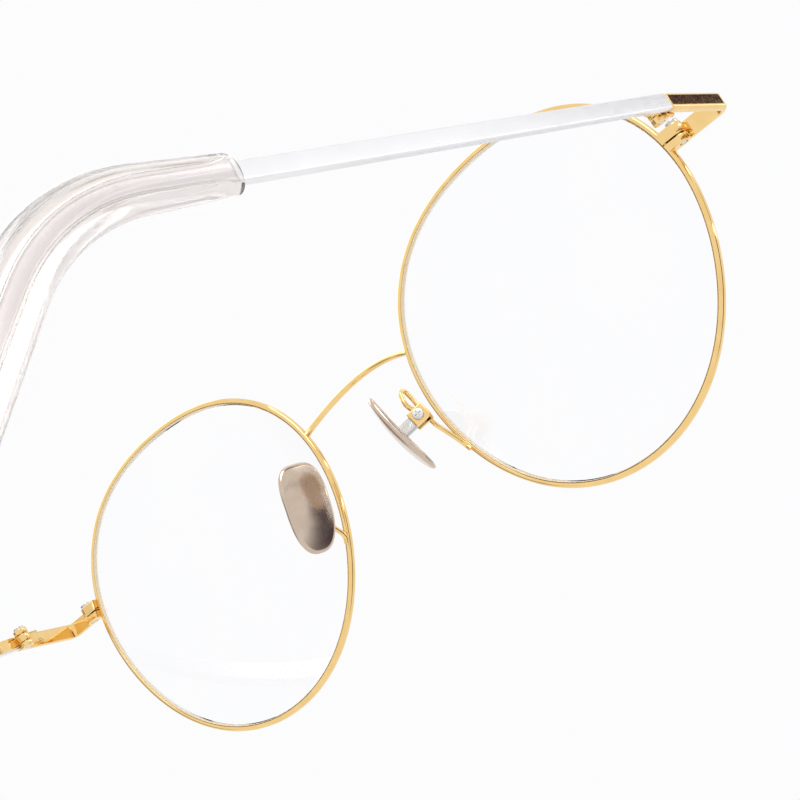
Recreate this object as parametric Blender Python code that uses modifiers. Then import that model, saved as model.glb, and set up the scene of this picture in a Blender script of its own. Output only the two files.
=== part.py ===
"""Round metal eyeglasses, open, standing on the two rims and the two temple tips.

Metres, +Z up. The wearer looks along -Y and the wearer's left is +X. Every piece is made in the
front's own frame, for the left side, and the right side is its mirror image.
"""

import math

import bmesh
import bpy
from mathutils import Matrix, Vector

# Rims and lenses
RIM_RADIUS = 0.0240
RIM_OVAL = 0.009
RIM_BROW = 0.029
RIM_SQUARE = -0.007
LENS_CENTRES = 0.06833
WRAP = math.radians(2.75)
RIM_WALL = 0.00068
RIM_DEPTH = 0.00105
RIM_EDGE = 0.00010
GROOVE_DEPTH = 0.00026
GROOVE_WIDTH = 0.00060
SPLIT_ANGLE = math.radians(15.0)
SPLIT_WIDTH = 0.00020
DISC_REACH = 0.006
LENS_CURVE = 0.132
LENS_THICKNESS = 0.0012
LENS_FIT = 0.00008
LENS_RINGS = (0.0, 0.3, 0.6, 0.85)

# Clearances
SEAT_GAP = 0.00005
RUNNING_FIT = 0.00005
HINGE_PLAY = 0.00010
SLEEVE_FIT = 0.00020

# Bridge
BRIDGE_WIRE = 0.00044
BRIDGE_ANGLE = math.radians(162.0)
BRIDGE_RISE = 0.0029
BRIDGE_FORWARD = 0.0029

# Nose pads, in a frame on the pad screw: X away from the nose, Y rearwards, Z up.
# The screw's place is measured from the point of the rim that its arm stands on
PAD_SCREW_ASIDE = -0.00015
PAD_SCREW_BACK = 0.00788
PAD_SCREW_RISE = 0.00484
PAD_LEAN = math.radians(3.9)
PAD_FLARE = math.radians(14.9)
PAD_SPLAY = math.radians(30.0)
PAD_REACH = 0.0038
PAD_LENGTH = 0.0127
PAD_WIDTH = 0.0067
PAD_TOP_SQUARE = 0.62
PAD_FOOT_SQUARE = 0.78
PAD_SIDE_SQUARE = 0.72
PAD_TAPER = 0.09
PAD_THICKNESS = 0.0012
PAD_FACE_CROWN = 0.024
PAD_BACK_CROWN = 0.060
PAD_OFFSET = 0.0002
PAD_SINK = 0.00015
LUG_THICKNESS = 0.00085
LUG_HEIGHT = 0.0017
BOX_WIDTH = 0.0024
BOX_HEIGHT = 0.0022
BOX_DEPTH = 0.0022
BOX_WEB = 0.00040
BOX_EDGE = 0.00012
LUG_SEAT = 0.00007
PAD_SCREW_RADIUS = 0.00040
PAD_SCREW_HEAD = 0.00078
PAD_SCREW_HEAD_HEIGHT = 0.00030

# Pad arms: the wire's path is given from the pad screw, in millimetres of the front's frame
ARM_WIRE = 0.00034
ARM_ANGLE = math.radians(200.5)
ARM_FOOT = math.radians(2.0)
ARM_RISE = 0.0001
ARM_PATH = (
    (-0.05, -5.60, -3.40),
    (-0.10, -3.90, -2.05),
    (-0.05, -2.60, -1.15),
    (-0.05, -1.90, 0.15),
    (-0.30, -1.50, 1.80),
    (-0.45, -1.15, 3.30),
    (-0.60, -0.60, 4.30),
    (-0.72, 0.00, 4.25),
    (-0.78, 0.30, 3.35),
    (-0.73, 0.40, 2.30),
)
ARM_LANDING = (0.0001, -0.0001)

# Temple plane: it slopes down behind the front, and the endpieces and hinges lie in it. Its
# start and the temples' spread are measured from the rim's split
TEMPLE_AHEAD = 0.00134
TEMPLE_RISE = 0.00120
TEMPLE_SPREAD = 0.00828
RIM_OVERLAP = 0.0014
TEMPLE_DROP = math.radians(8.53)
TEMPLE_SPLAY = math.radians(6.8)

# Endpieces: they slope less than the temples
END_DROP = math.radians(3.9)
END_THICKNESS = 0.0010
END_HEIGHT = 0.0023
END_SETBACK = 0.00035
END_WIDTH = TEMPLE_SPREAD + RIM_OVERLAP
END_CORNER = 0.0013
END_STEPS = 7

# Closing barrels, in a frame on the closing screw: X outwards along the endpiece, Y rearwards
BARREL_RADIUS = 0.00105
BARREL_OUT = 0.00188
BARREL_INSET = TEMPLE_SPREAD - BARREL_OUT
BARREL_FOOT = BARREL_OUT + RIM_OVERLAP
UPPER_BARREL_HEIGHT = 0.0016
LOWER_BARREL_HEIGHT = 0.0011
BARREL_SPLIT = 0.00016
SPLIT_HEIGHT = -0.00035
LOCK_SCREW_RADIUS = 0.00050
LOCK_SCREW_HEAD = 0.00085
LOCK_SCREW_HEAD_HEIGHT = 0.00050

# Hinges, in a frame on the hinge screw: X outwards, Y along the open temple, Z along the screw
HINGE_BACK = 0.0144
END_LENGTH = HINGE_BACK - END_SETBACK
HINGE_INSET = 0.0019
KNUCKLE_RADIUS = 0.00105
KNUCKLE_HEIGHT = 0.00110
HINGE_HEIGHT = 0.0029
LEAF_THICKNESS = 0.0006
LEAF_LENGTH = 0.0036
LEAF_HEIGHT = 0.0018
LEAF_START = 0.00115
LEAF_OVERLAP = 0.0002
HINGE_SCREW_RADIUS = 0.00045
HINGE_SCREW_HEAD = 0.00080
HINGE_SCREW_HEAD_HEIGHT = 0.00035

# Temples
TEMPLE_THICKNESS = 0.0010
TEMPLE_HEIGHT = 0.0021
TEMPLE_NECK = 0.012
TEMPLE_MIDDLE = 0.045
TEMPLE_MIDDLE_HEIGHT = 0.0021
TEMPLE_WAIST = 0.0020
CORE_HEIGHT = 0.0013
SLEEVE_START = 0.0765
BEND_START = 0.0870
BEND_RADIUS = 0.0260
BEND_ANGLE = math.radians(40.0)
TEMPLE_LENGTH = 0.1400
CORE_END = 0.0100
SLEEVE_THICKNESS = 0.0030
SLEEVE_MOUTH_HEIGHT = 0.0038
SLEEVE_HEIGHT = 0.0054
SLEEVE_MOUTH_THICKNESS = 0.0025
SLEEVE_RINGS = 12
SLEEVE_SWELL = 0.7
SLEEVE_END = (25, 45, 62, 76)
SLEEVE_BORE_LEAD = 0.002
SLEEVE_STEP = 0.0005
CORE_STEP = 0.0045
CORE_LEAD = 0.003

SLOT_WIDTH = 0.00022
SLOT_DEPTH = 0.00018
HEAD_DOME = 0.35
SCREW_FLAT = 0.7
SCREW_CHAMFER = 0.3
WELD = 1e-6

RING_STEPS = 72
ROUND_STEPS = 20

GOLD = ("gold", (0.86, 0.60, 0.25), 1.0, 0.18)
TITANIUM = ("titanium", (0.62, 0.55, 0.49), 1.0, 0.30)
STEEL = ("steel", (0.68, 0.67, 0.66), 1.0, 0.25)
LENS = ("lens", (0.95, 0.97, 0.97), 0.0, 0.03)
SILVER = ("silver", (0.80, 0.80, 0.80), 1.0, 0.22)
TIP = ("tip", (0.52, 0.33, 0.22), 0.0, 0.25)


def start_empty_scene():
    for obj in list(bpy.data.objects):
        bpy.data.objects.remove(obj, do_unlink=True)
    parts = bpy.data.collections.new("round_eyeglasses")
    cutters = bpy.data.collections.new("cutters")
    bpy.context.scene.collection.children.link(parts)
    bpy.context.scene.collection.children.link(cutters)
    cutters.hide_render = True
    return parts, cutters


PARTS, CUTTERS = start_empty_scene()


def material(kind):
    name, colour, metallic, roughness = kind
    found = bpy.data.materials.get(name)
    if found:
        return found
    made = bpy.data.materials.new(name)
    made.use_nodes = True
    shader = made.node_tree.nodes["Principled BSDF"]
    shader.inputs["Base Color"].default_value = (*colour, 1.0)
    shader.inputs["Metallic"].default_value = metallic
    shader.inputs["Roughness"].default_value = roughness
    made.diffuse_color = (*colour, 1.0)
    return made


def empty(name, location=(0, 0, 0), rotation=(0, 0, 0), parent=None):
    made = bpy.data.objects.new(name, None)
    made.empty_display_size = 0.004
    made.location = location
    made.rotation_euler = rotation
    made.parent = parent
    PARTS.objects.link(made)
    return made


def place(obj, location=(0, 0, 0), rotation=(0, 0, 0), parent=None):
    obj.location = location
    obj.rotation_euler = rotation
    obj.parent = parent
    return obj


def new_object(name, data, collection=PARTS):
    made = bpy.data.objects.new(name, data)
    collection.objects.link(made)
    return made


def baked_mesh(obj):
    """The object's evaluated mesh, welded, as data of its own."""
    graph = bpy.context.evaluated_depsgraph_get()
    mesh = bpy.data.meshes.new_from_object(obj.evaluated_get(graph))
    work = bmesh.new()
    work.from_mesh(mesh)
    bmesh.ops.remove_doubles(work, verts=work.verts, dist=WELD)
    work.to_mesh(mesh)
    work.free()
    return mesh


def frozen(obj, name=None):
    """A mesh object in the place of this curve or of this object with modifiers."""
    bpy.context.view_layer.update()
    mesh = baked_mesh(obj)
    made = new_object(name or obj.name + "_solid", mesh, obj.users_collection[0])
    made.parent = obj.parent
    made.location = obj.location
    made.rotation_euler = obj.rotation_euler
    old_name = obj.name
    bpy.data.objects.remove(obj, do_unlink=True)
    if name is None:
        made.name = old_name
    return made


def cutter(obj):
    for collection in list(obj.users_collection):
        collection.objects.unlink(obj)
    CUTTERS.objects.link(obj)
    obj.hide_render = True
    obj.display_type = "WIRE"
    return obj


def boolean(obj, other, operation="DIFFERENCE"):
    """Cuts or joins, then removes the other object."""
    modifier = obj.modifiers.new("boolean", "BOOLEAN")
    modifier.object = other
    modifier.operation = operation
    name = obj.name
    obj.name = name + "_before"
    made = frozen(obj, name)
    bpy.data.objects.remove(other, do_unlink=True)
    return made


def finish(obj, kind, smooth_angle=math.radians(35)):
    obj.data.materials.clear()
    obj.data.materials.append(material(kind))
    obj.data.shade_smooth()
    obj.data.set_sharp_from_angle(angle=smooth_angle)
    return obj


def turned(name, profile, steps, closed=False):
    """A solid of revolution about its own Z. The profile holds (radius, height) points."""
    mesh = bpy.data.meshes.new(name)
    count = len(profile)
    edges = [(n, n + 1) for n in range(count - 1)]
    if closed:
        edges.append((count - 1, 0))
    mesh.from_pydata([(radius, 0.0, height) for radius, height in profile], edges, [])
    obj = new_object(name, mesh)
    screw = obj.modifiers.new("turn", "SCREW")
    screw.axis = "Z"
    screw.steps = steps
    screw.render_steps = steps
    screw.use_merge_vertices = True
    screw.merge_threshold = WELD
    return frozen(obj)


def box(name, size, centre=(0, 0, 0)):
    mesh = bpy.data.meshes.new(name)
    work = bmesh.new()
    bmesh.ops.create_cube(work, size=1.0)
    bmesh.ops.scale(work, vec=size, verts=work.verts)
    bmesh.ops.translate(work, vec=centre, verts=work.verts)
    work.to_mesh(mesh)
    work.free()
    return new_object(name, mesh)


def rod(name, radius, height, centre=(0, 0, 0), axis="Z", steps=ROUND_STEPS):
    """A plain cylinder along Y or Z."""
    mesh = bpy.data.meshes.new(name)
    work = bmesh.new()
    bmesh.ops.create_cone(work, cap_ends=True, segments=steps, radius1=radius, radius2=radius, depth=height)
    if axis == "Y":
        bmesh.ops.rotate(work, verts=work.verts, matrix=Matrix.Rotation(math.radians(90), 3, "X"))
    bmesh.ops.translate(work, vec=centre, verts=work.verts)
    work.to_mesh(mesh)
    work.free()
    return new_object(name, mesh)


def plate(name, outline, thickness, holes=()):
    """A flat outline in XY, centred on Z = 0, with round holes given as (x, y, radius)."""
    curve = bpy.data.curves.new(name, "CURVE")
    curve.dimensions = "2D"
    curve.fill_mode = "BOTH"
    curve.extrude = thickness / 2
    rings = [outline]
    for x, y, radius in holes:
        turns = [2 * math.pi * n / ROUND_STEPS for n in range(ROUND_STEPS)]
        rings.append([(x + radius * math.cos(a), y + radius * math.sin(a)) for a in turns])
    for ring in rings:
        spline = curve.splines.new("POLY")
        spline.points.add(len(ring) - 1)
        for point, (x, y) in zip(spline.points, ring):
            point.co = (x, y, 0.0, 1.0)
        spline.use_cyclic_u = True
    return frozen(new_object(name, curve))


def wire(name, points, radius, bevel_resolution=2, resolution=6):
    """A round wire along one smooth curve through the points."""
    curve = bpy.data.curves.new(name, "CURVE")
    curve.dimensions = "3D"
    curve.bevel_depth = radius
    curve.bevel_resolution = bevel_resolution
    curve.use_fill_caps = True
    curve.resolution_u = resolution
    spline = curve.splines.new("BEZIER")
    spline.bezier_points.add(len(points) - 1)
    for point, place_of in zip(spline.bezier_points, points):
        point.co = place_of
        point.handle_left_type = "AUTO"
        point.handle_right_type = "AUTO"
    return frozen(new_object(name, curve))


def rotated_mesh(obj, angle, axis):
    obj.data.transform(Matrix.Rotation(angle, 4, axis))
    return obj


def reflect(obj, name, parent):
    """The mirror image in X of a finished left piece, under the matching right parent."""
    mesh = obj.data.copy()
    mesh.transform(Matrix.Scale(-1, 4, (1, 0, 0)))
    mesh.flip_normals()
    made = new_object(name, mesh)
    made.parent = parent
    made.location = (-obj.location.x, obj.location.y, obj.location.z)
    turn = obj.rotation_euler
    made.rotation_euler = (turn.x, -turn.y, -turn.z)
    return made


def outline_scale(angle):
    """How far the lens outline stands from its mean circle at this angle from the temporal side."""
    return 1 + RIM_OVAL * math.cos(2 * angle) + RIM_BROW * math.sin(3 * angle) + RIM_SQUARE * math.cos(4 * angle)


def draw_to_outline(obj):
    """Draws a turned ring or lens out to the lens outline."""
    for vertex in obj.data.vertices:
        scale = outline_scale(math.atan2(vertex.co.y, vertex.co.x))
        vertex.co.x *= scale
        vertex.co.y *= scale
    return obj


# The front's frame, which is tilted at the end so that the glasses stand
STAND = empty("front_frame")
LENS_SAG = RIM_RADIUS**2 / (2 * LENS_CURVE)
LENS_PLACE = (LENS_CENTRES / 2, LENS_SAG, 0.0)
LENS_TURN = (math.radians(90), 0.0, WRAP)


def on_rim(angle, outwards=0.0, rearwards=0.0):
    """A point of the left rim in the front's frame, from its angle about the lens centre."""
    radius = RIM_RADIUS * outline_scale(angle) + outwards
    along = radius * math.cos(angle)
    x = LENS_PLACE[0] + along * math.cos(WRAP) - rearwards * math.sin(WRAP)
    y = LENS_PLACE[1] + along * math.sin(WRAP) + rearwards * math.cos(WRAP)
    return Vector((x, y, radius * math.sin(angle)))


LOCK_POINT = on_rim(SPLIT_ANGLE, RIM_WALL / 2)
TEMPLE_START = (0.0, LOCK_POINT.y - TEMPLE_AHEAD, LOCK_POINT.z + TEMPLE_RISE)
PAD_SCREW_STEP = Vector((PAD_SCREW_ASIDE, PAD_SCREW_BACK, PAD_SCREW_RISE))
PAD_SCREW_PLACE = tuple(on_rim(ARM_ANGLE) + PAD_SCREW_STEP)


def rim_profile(wall, depth, edge, groove):
    """The wire's section, down its outer side and up the grooved inner side."""
    outer = RIM_RADIUS + wall / 2
    inner = RIM_RADIUS - wall / 2
    half = depth / 2
    points = [(outer - edge, half), (outer, half - edge), (outer, edge - half), (outer - edge, -half)]
    points += [(inner + edge, -half), (inner, edge - half)]
    if groove:
        points += [(inner, -GROOVE_WIDTH / 2), (inner + GROOVE_DEPTH, 0.0), (inner, GROOVE_WIDTH / 2)]
    points += [(inner, half - edge), (inner + edge, half)]
    return points


def rim_clearance():
    """A ring that stands one seat gap proud of the left rim all round, for cutting what meets it."""
    profile = rim_profile(RIM_WALL + 2 * SEAT_GAP, RIM_DEPTH + 2 * SEAT_GAP, RIM_EDGE, False)
    ring = draw_to_outline(turned("rim_clearance", profile, RING_STEPS, closed=True))
    return cutter(place(ring, LENS_PLACE, LENS_TURN, STAND))


def rim_disc():
    """A filled disc one seat gap larger than the left rim, for ending what comes up to the rim."""
    edge = RIM_RADIUS + RIM_WALL / 2 + SEAT_GAP
    profile = [(0.0, DISC_REACH), (edge, DISC_REACH), (edge, -DISC_REACH), (0.0, -DISC_REACH)]
    disc = draw_to_outline(turned("rim_disc", profile, RING_STEPS))
    return cutter(place(disc, LENS_PLACE, LENS_TURN, STAND))


def make_rim():
    profile = rim_profile(RIM_WALL, RIM_DEPTH, RIM_EDGE, True)
    rim = draw_to_outline(turned("left_rim", profile, RING_STEPS, closed=True))
    split = box("rim_split", (4 * RIM_WALL, SPLIT_WIDTH, 2 * RIM_DEPTH), (RIM_RADIUS, 0, 0))
    cutter(rotated_mesh(split, SPLIT_ANGLE, "Z"))
    rim = boolean(rim, split)
    return finish(place(rim, LENS_PLACE, LENS_TURN, STAND), GOLD)


def make_lens():
    edge = RIM_RADIUS - RIM_WALL / 2 - LENS_FIT
    apex = edge + GROOVE_DEPTH
    half_bevel = GROOVE_WIDTH / 2 * GROOVE_DEPTH / (GROOVE_DEPTH + LENS_FIT)
    half = LENS_THICKNESS / 2

    def front(radius):
        return half + (LENS_SAG - radius**2 / (2 * LENS_CURVE))

    rings = [edge * share for share in LENS_RINGS]
    profile = [(radius, front(radius)) for radius in rings]
    profile += [(edge, half), (edge, half_bevel), (apex, 0.0), (edge, -half_bevel), (edge, -half)]
    profile += [(radius, front(radius) - LENS_THICKNESS) for radius in reversed(rings)]
    lens = draw_to_outline(turned("left_lens", profile, RING_STEPS))
    return finish(place(lens, LENS_PLACE, LENS_TURN, STAND), LENS)


def make_bridge():
    end = on_rim(BRIDGE_ANGLE)
    count = 8
    points = []
    for n in range(count + 1):
        share = 2 * n / count - 1
        rise = 1 - share**2
        points.append((share * end.x, end.y - BRIDGE_FORWARD * rise, end.z + BRIDGE_RISE * rise))
    bridge = wire("bridge", points, BRIDGE_WIRE, bevel_resolution=3, resolution=4)
    bridge.parent = STAND
    left_ring = rim_clearance()
    right_ring = cutter(reflect(left_ring, "right_rim_clearance", STAND))
    bridge = boolean(bridge, left_ring)
    return finish(boolean(bridge, right_ring), GOLD)


def temple_clearance():
    """A block where the left temple is, one half of the play ahead of it, for cutting the endpiece."""
    reach = 2 * END_HEIGHT
    block = box("temple_clearance", (reach, reach, reach), (HINGE_INSET, reach / 2 - HINGE_PLAY / 2, 0))
    return cutter(place(block, parent=HINGE_FRAME))


def make_endpiece():
    """A flat strip on edge, from the rim out to a rounded corner and back to the hinge."""
    outwards = Vector((math.cos(TEMPLE_SPLAY), -math.sin(TEMPLE_SPLAY)))
    rearwards = Vector((math.sin(TEMPLE_SPLAY), math.cos(TEMPLE_SPLAY)))
    corner = Vector((HINGE_INSET, -END_LENGTH))
    turn = math.radians(90) + TEMPLE_SPLAY
    centre = corner - END_CORNER * math.tan(turn / 2) * outwards + END_CORNER * rearwards
    path = [corner - END_WIDTH * outwards]
    for n in range(END_STEPS + 1):
        angle = turn * n / END_STEPS - TEMPLE_SPLAY
        path.append(centre + END_CORNER * Vector((math.sin(angle), -math.cos(angle))))
    path.append(Vector((HINGE_INSET, END_HEIGHT)))
    sides = []
    for n, point in enumerate(path):
        before = path[max(n - 1, 0)]
        after = path[min(n + 1, len(path) - 1)]
        heading = (after - before).normalized()
        sides.append((point, Vector((heading.y, -heading.x))))
    half = END_THICKNESS / 2
    outline = [tuple(point + half * side) for point, side in sides]
    outline += [tuple(point - half * side) for point, side in reversed(sides)]
    endpiece = place(plate("left_endpiece", outline, END_HEIGHT), parent=END_FRAME)
    endpiece = boolean(endpiece, temple_clearance())
    return finish(boolean(endpiece, rim_disc()), GOLD)


def bevelled(obj, width, segments=1):
    bevel = obj.modifiers.new("edges", "BEVEL")
    bevel.width = width
    bevel.segments = segments
    bevel.limit_method = "ANGLE"
    bevel.angle_limit = math.radians(40)
    name = obj.name
    obj.name = name + "_sharp"
    return frozen(obj, name)


UPPER_BARREL_TOP = SPLIT_HEIGHT + UPPER_BARREL_HEIGHT
LOWER_BARREL_BOTTOM = SPLIT_HEIGHT - LOWER_BARREL_HEIGHT


def make_closing_barrel(name, low, high):
    """One of the two barrels that close the rim, with a foot cut to the rim's outside and a screw bore."""
    height = high - low
    middle = (low + high) / 2
    barrel = rod(name, BARREL_RADIUS, height, (0, 0, middle))
    foot = box("foot", (BARREL_FOOT, 2 * BARREL_RADIUS, height), (-BARREL_FOOT / 2, 0, middle))
    barrel = boolean(barrel, cutter(foot), "UNION")
    barrel.parent = LOCK_FRAME
    barrel = boolean(barrel, rim_disc())
    bore = rod("bore", LOCK_SCREW_RADIUS + RUNNING_FIT, 8 * BARREL_RADIUS)
    bore.parent = LOCK_FRAME
    return finish(boolean(barrel, cutter(bore)), GOLD)


def screw_body(name, radius, head_radius, head_height, length, parent_place):
    """A slotted screw along Z. Its head's underside is at the origin and its shank runs down."""
    dome = HEAD_DOME * head_height
    profile = [(0.0, head_height), (SCREW_FLAT * head_radius, head_height)]
    profile += [(head_radius, head_height - dome), (head_radius, 0.0)]
    profile += [(radius, 0.0), (radius, -length + SCREW_CHAMFER * radius)]
    profile += [(SCREW_FLAT * radius, -length), (0.0, -length)]
    body = turned(name, profile, ROUND_STEPS)
    slot = box("slot", (4 * head_radius, SLOT_WIDTH, 2 * SLOT_DEPTH), (0, 0, head_height))
    body = boolean(body, cutter(slot))
    body.location = parent_place
    return finish(body, STEEL)


def make_lock_screw():
    length = UPPER_BARREL_TOP - LOWER_BARREL_BOTTOM
    top = (0, 0, UPPER_BARREL_TOP + SEAT_GAP)
    screw = screw_body(
        "left_closing_screw", LOCK_SCREW_RADIUS, LOCK_SCREW_HEAD, LOCK_SCREW_HEAD_HEIGHT, length, top
    )
    screw.parent = LOCK_FRAME
    return screw


LEAF_OUTER = HINGE_INSET - END_THICKNESS / 2 - SEAT_GAP
LEAF_INNER = LEAF_OUTER - LEAF_THICKNESS


def knuckle(name, height, centre_z, arm_side):
    """A barrel on the hinge axis with the arm that joins it to its leaf, before or behind the axis."""
    barrel = rod(name, KNUCKLE_RADIUS, height, (0, 0, centre_z))
    low = LEAF_INNER - LEAF_OVERLAP
    high = LEAF_OUTER - LEAF_OVERLAP / 2
    length = LEAF_START + LEAF_OVERLAP
    arm = box("arm", (high - low, length, height), ((high + low) / 2, arm_side * length / 2, centre_z))
    return boolean(barrel, cutter(arm), "UNION")


def make_hinge_leaf(name, arm_side, knuckles, parent):
    """A leaf with its barrels, bored for the hinge screw."""
    middle = (LEAF_OUTER + LEAF_INNER) / 2
    place_of = (middle, arm_side * (LEAF_START + LEAF_LENGTH / 2), 0)
    leaf = box(name, (LEAF_THICKNESS, LEAF_LENGTH, LEAF_HEIGHT), place_of)
    for height, centre_z in knuckles:
        leaf = boolean(leaf, cutter(knuckle("knuckle", height, centre_z, arm_side)), "UNION")
    bore = rod("bore", HINGE_SCREW_RADIUS + RUNNING_FIT, 2 * HINGE_HEIGHT)
    leaf = boolean(leaf, cutter(bore))
    leaf.parent = parent
    return finish(leaf, GOLD)


OUTER_KNUCKLE = (HINGE_HEIGHT - KNUCKLE_HEIGHT) / 2 - HINGE_PLAY
OUTER_KNUCKLE_PLACE = (HINGE_HEIGHT - OUTER_KNUCKLE) / 2


def make_hinge_screw():
    place_of = (0, 0, HINGE_HEIGHT / 2 + SEAT_GAP)
    screw = screw_body(
        "left_hinge_screw",
        HINGE_SCREW_RADIUS,
        HINGE_SCREW_HEAD,
        HINGE_SCREW_HEAD_HEIGHT,
        HINGE_HEIGHT + SEAT_GAP,
        place_of,
    )
    screw.parent = HINGE_FRAME
    return screw


def temple_point(along):
    """A point on the temple's middle line and its downward slope, at a length from the hinge axis."""
    if along <= BEND_START:
        return Vector((along, 0.0)), 0.0
    turned_by = min((along - BEND_START) / BEND_RADIUS, BEND_ANGLE)
    x = BEND_START + BEND_RADIUS * math.sin(turned_by)
    z = -BEND_RADIUS * (1 - math.cos(turned_by))
    rest = along - BEND_START - BEND_RADIUS * turned_by
    return Vector((x + rest * math.cos(turned_by), z - rest * math.sin(turned_by))), turned_by


def temple_outline(stations):
    """The side view of a bar along the temple's line, from (length, half height) pairs."""
    upper = []
    lower = []
    for along, half in stations:
        point, slope = temple_point(along)
        up = Vector((math.sin(slope), math.cos(slope)))
        upper.append(tuple(point + half * up))
        lower.append(tuple(point - half * up))
    return lower + upper[::-1]


CORE_STOP = TEMPLE_LENGTH - CORE_END
CORE_STEPS = [SLEEVE_START + CORE_LEAD + n * CORE_STEP for n in range(11)]


def core_stations(proud):
    """The core inside the sleeve. Proud makes the bore that it lies in."""
    lengths = [length for length in CORE_STEPS if length < CORE_STOP - CORE_STEP / 2] + [CORE_STOP + proud]
    return [(length, CORE_HEIGHT / 2 + proud) for length in lengths]


def upright(obj):
    """Stands a plate made in XY on edge: its X runs along +Y, its Y along +Z."""
    obj.data.transform(Matrix(((0, 0, 1, 0), (1, 0, 0, 0), (0, 1, 0, 0), (0, 0, 0, 1))))
    return obj


def make_temple():
    stations = [(HINGE_PLAY / 2, TEMPLE_HEIGHT / 2), (TEMPLE_NECK, TEMPLE_HEIGHT / 2)]
    stations += [(TEMPLE_MIDDLE, TEMPLE_MIDDLE_HEIGHT / 2), (SLEEVE_START, TEMPLE_WAIST / 2)]
    stations += core_stations(0.0)
    bar = upright(plate("left_temple", temple_outline(stations), TEMPLE_THICKNESS))
    bar.data.transform(Matrix.Translation((HINGE_INSET, 0, 0)))
    bar.parent = TEMPLE_AXIS
    return finish(bar, SILVER)


def oval_ring(along, half_height, half_thickness, count=16):
    point, slope = temple_point(along)
    up = Vector((0.0, math.sin(slope), math.cos(slope)))
    centre = Vector((HINGE_INSET, point.x, point.y))
    ring = []
    for n in range(count):
        angle = 2 * math.pi * n / count
        ring.append(centre + half_thickness * math.cos(angle) * Vector((1, 0, 0)) + half_height * math.sin(angle) * up)
    return ring


def loft(name, rings):
    """A closed solid through rings of equal count, with flat ends."""
    mesh = bpy.data.meshes.new(name)
    work = bmesh.new()
    rows = [[work.verts.new(point) for point in ring] for ring in rings]
    count = len(rows[0])
    for low, high in zip(rows, rows[1:]):
        for n in range(count):
            work.faces.new((low[n], low[(n + 1) % count], high[(n + 1) % count], high[n]))
    work.faces.new(rows[0][::-1])
    work.faces.new(rows[-1])
    bmesh.ops.recalc_face_normals(work, faces=work.faces)
    work.to_mesh(mesh)
    work.free()
    return new_object(name, mesh)


def make_sleeve():
    """The tip cover: an oval sleeve that thickens round the ear bend and ends round."""
    rings = []
    body_end = TEMPLE_LENGTH - SLEEVE_HEIGHT / 2
    for n in range(SLEEVE_RINGS + 1):
        share = n / SLEEVE_RINGS
        along = SLEEVE_START + share * (body_end - SLEEVE_START)
        swell = math.sin(math.radians(90) * min(share / SLEEVE_SWELL, 1.0))
        height = SLEEVE_MOUTH_HEIGHT + (SLEEVE_HEIGHT - SLEEVE_MOUTH_HEIGHT) * swell
        thickness = SLEEVE_MOUTH_THICKNESS + (SLEEVE_THICKNESS - SLEEVE_MOUTH_THICKNESS) * swell
        rings.append(oval_ring(along, height / 2, thickness / 2))
    for angle in SLEEVE_END:
        along = body_end + SLEEVE_HEIGHT / 2 * math.sin(math.radians(angle))
        shrink = math.cos(math.radians(angle))
        rings.append(oval_ring(along, SLEEVE_HEIGHT / 2 * shrink, SLEEVE_THICKNESS / 2 * math.sqrt(shrink)))
    sleeve = loft("left_temple_tip", rings)
    mouth = (SLEEVE_START - SLEEVE_BORE_LEAD, TEMPLE_WAIST / 2 + SLEEVE_FIT)
    inside = (SLEEVE_START + SLEEVE_STEP, TEMPLE_WAIST / 2 + SLEEVE_FIT)
    bore = plate(
        "bore", temple_outline([mouth, inside] + core_stations(SLEEVE_FIT)), TEMPLE_THICKNESS + 2 * SLEEVE_FIT
    )
    bore = upright(bore)
    bore.data.transform(Matrix.Translation((HINGE_INSET, 0, 0)))
    sleeve = boolean(sleeve, cutter(bore))
    sleeve.parent = TEMPLE_AXIS
    return finish(sleeve, TIP)


def make_pad():
    """A thin crowned plate with a rounded rim, its face towards the nose."""
    half = PAD_THICKNESS / 2
    rounding = half / (PAD_WIDTH / 2)
    corner = [math.radians(angle) for angle in (90, 60, 30, 0, -30, -60, -90)]
    profile = [(0.0, half), (0.5, half)]
    profile += [(1 - rounding + rounding * math.cos(angle), half * math.sin(angle)) for angle in corner]
    profile += [(0.5, -half), (0.0, -half)]
    pad = turned("left_nose_pad", profile, 32)
    for vertex in pad.data.vertices:
        angle = math.atan2(vertex.co.y, vertex.co.x)
        share = math.hypot(vertex.co.x, vertex.co.y)
        end_square = PAD_TOP_SQUARE if vertex.co.y > 0 else PAD_FOOT_SQUARE
        up = PAD_LENGTH / 2 * signed_power(math.sin(angle), PAD_SIDE_SQUARE)
        across = PAD_WIDTH / 2 * signed_power(math.cos(angle), end_square) * (1 + PAD_TAPER * math.sin(angle))
        if share > 0.5:
            # The rounded edge is as wide at the ends as at the sides
            share = 1 - (1 - share) * PAD_WIDTH / 2 / math.hypot(up, across)
        up = share * up - PAD_SINK
        across *= share
        towards_face = (1 - vertex.co.z / half) / 2
        crown = towards_face / PAD_FACE_CROWN + (1 - towards_face) / PAD_BACK_CROWN
        bend = (up**2 + across**2) / 2 * crown
        vertex.co = (bend + vertex.co.z - PAD_REACH, across + PAD_OFFSET, up)
    pad.parent = PAD_AXIS
    return finish(pad, TITANIUM)


def signed_power(value, power):
    return math.copysign(abs(value) ** power, value)


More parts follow.
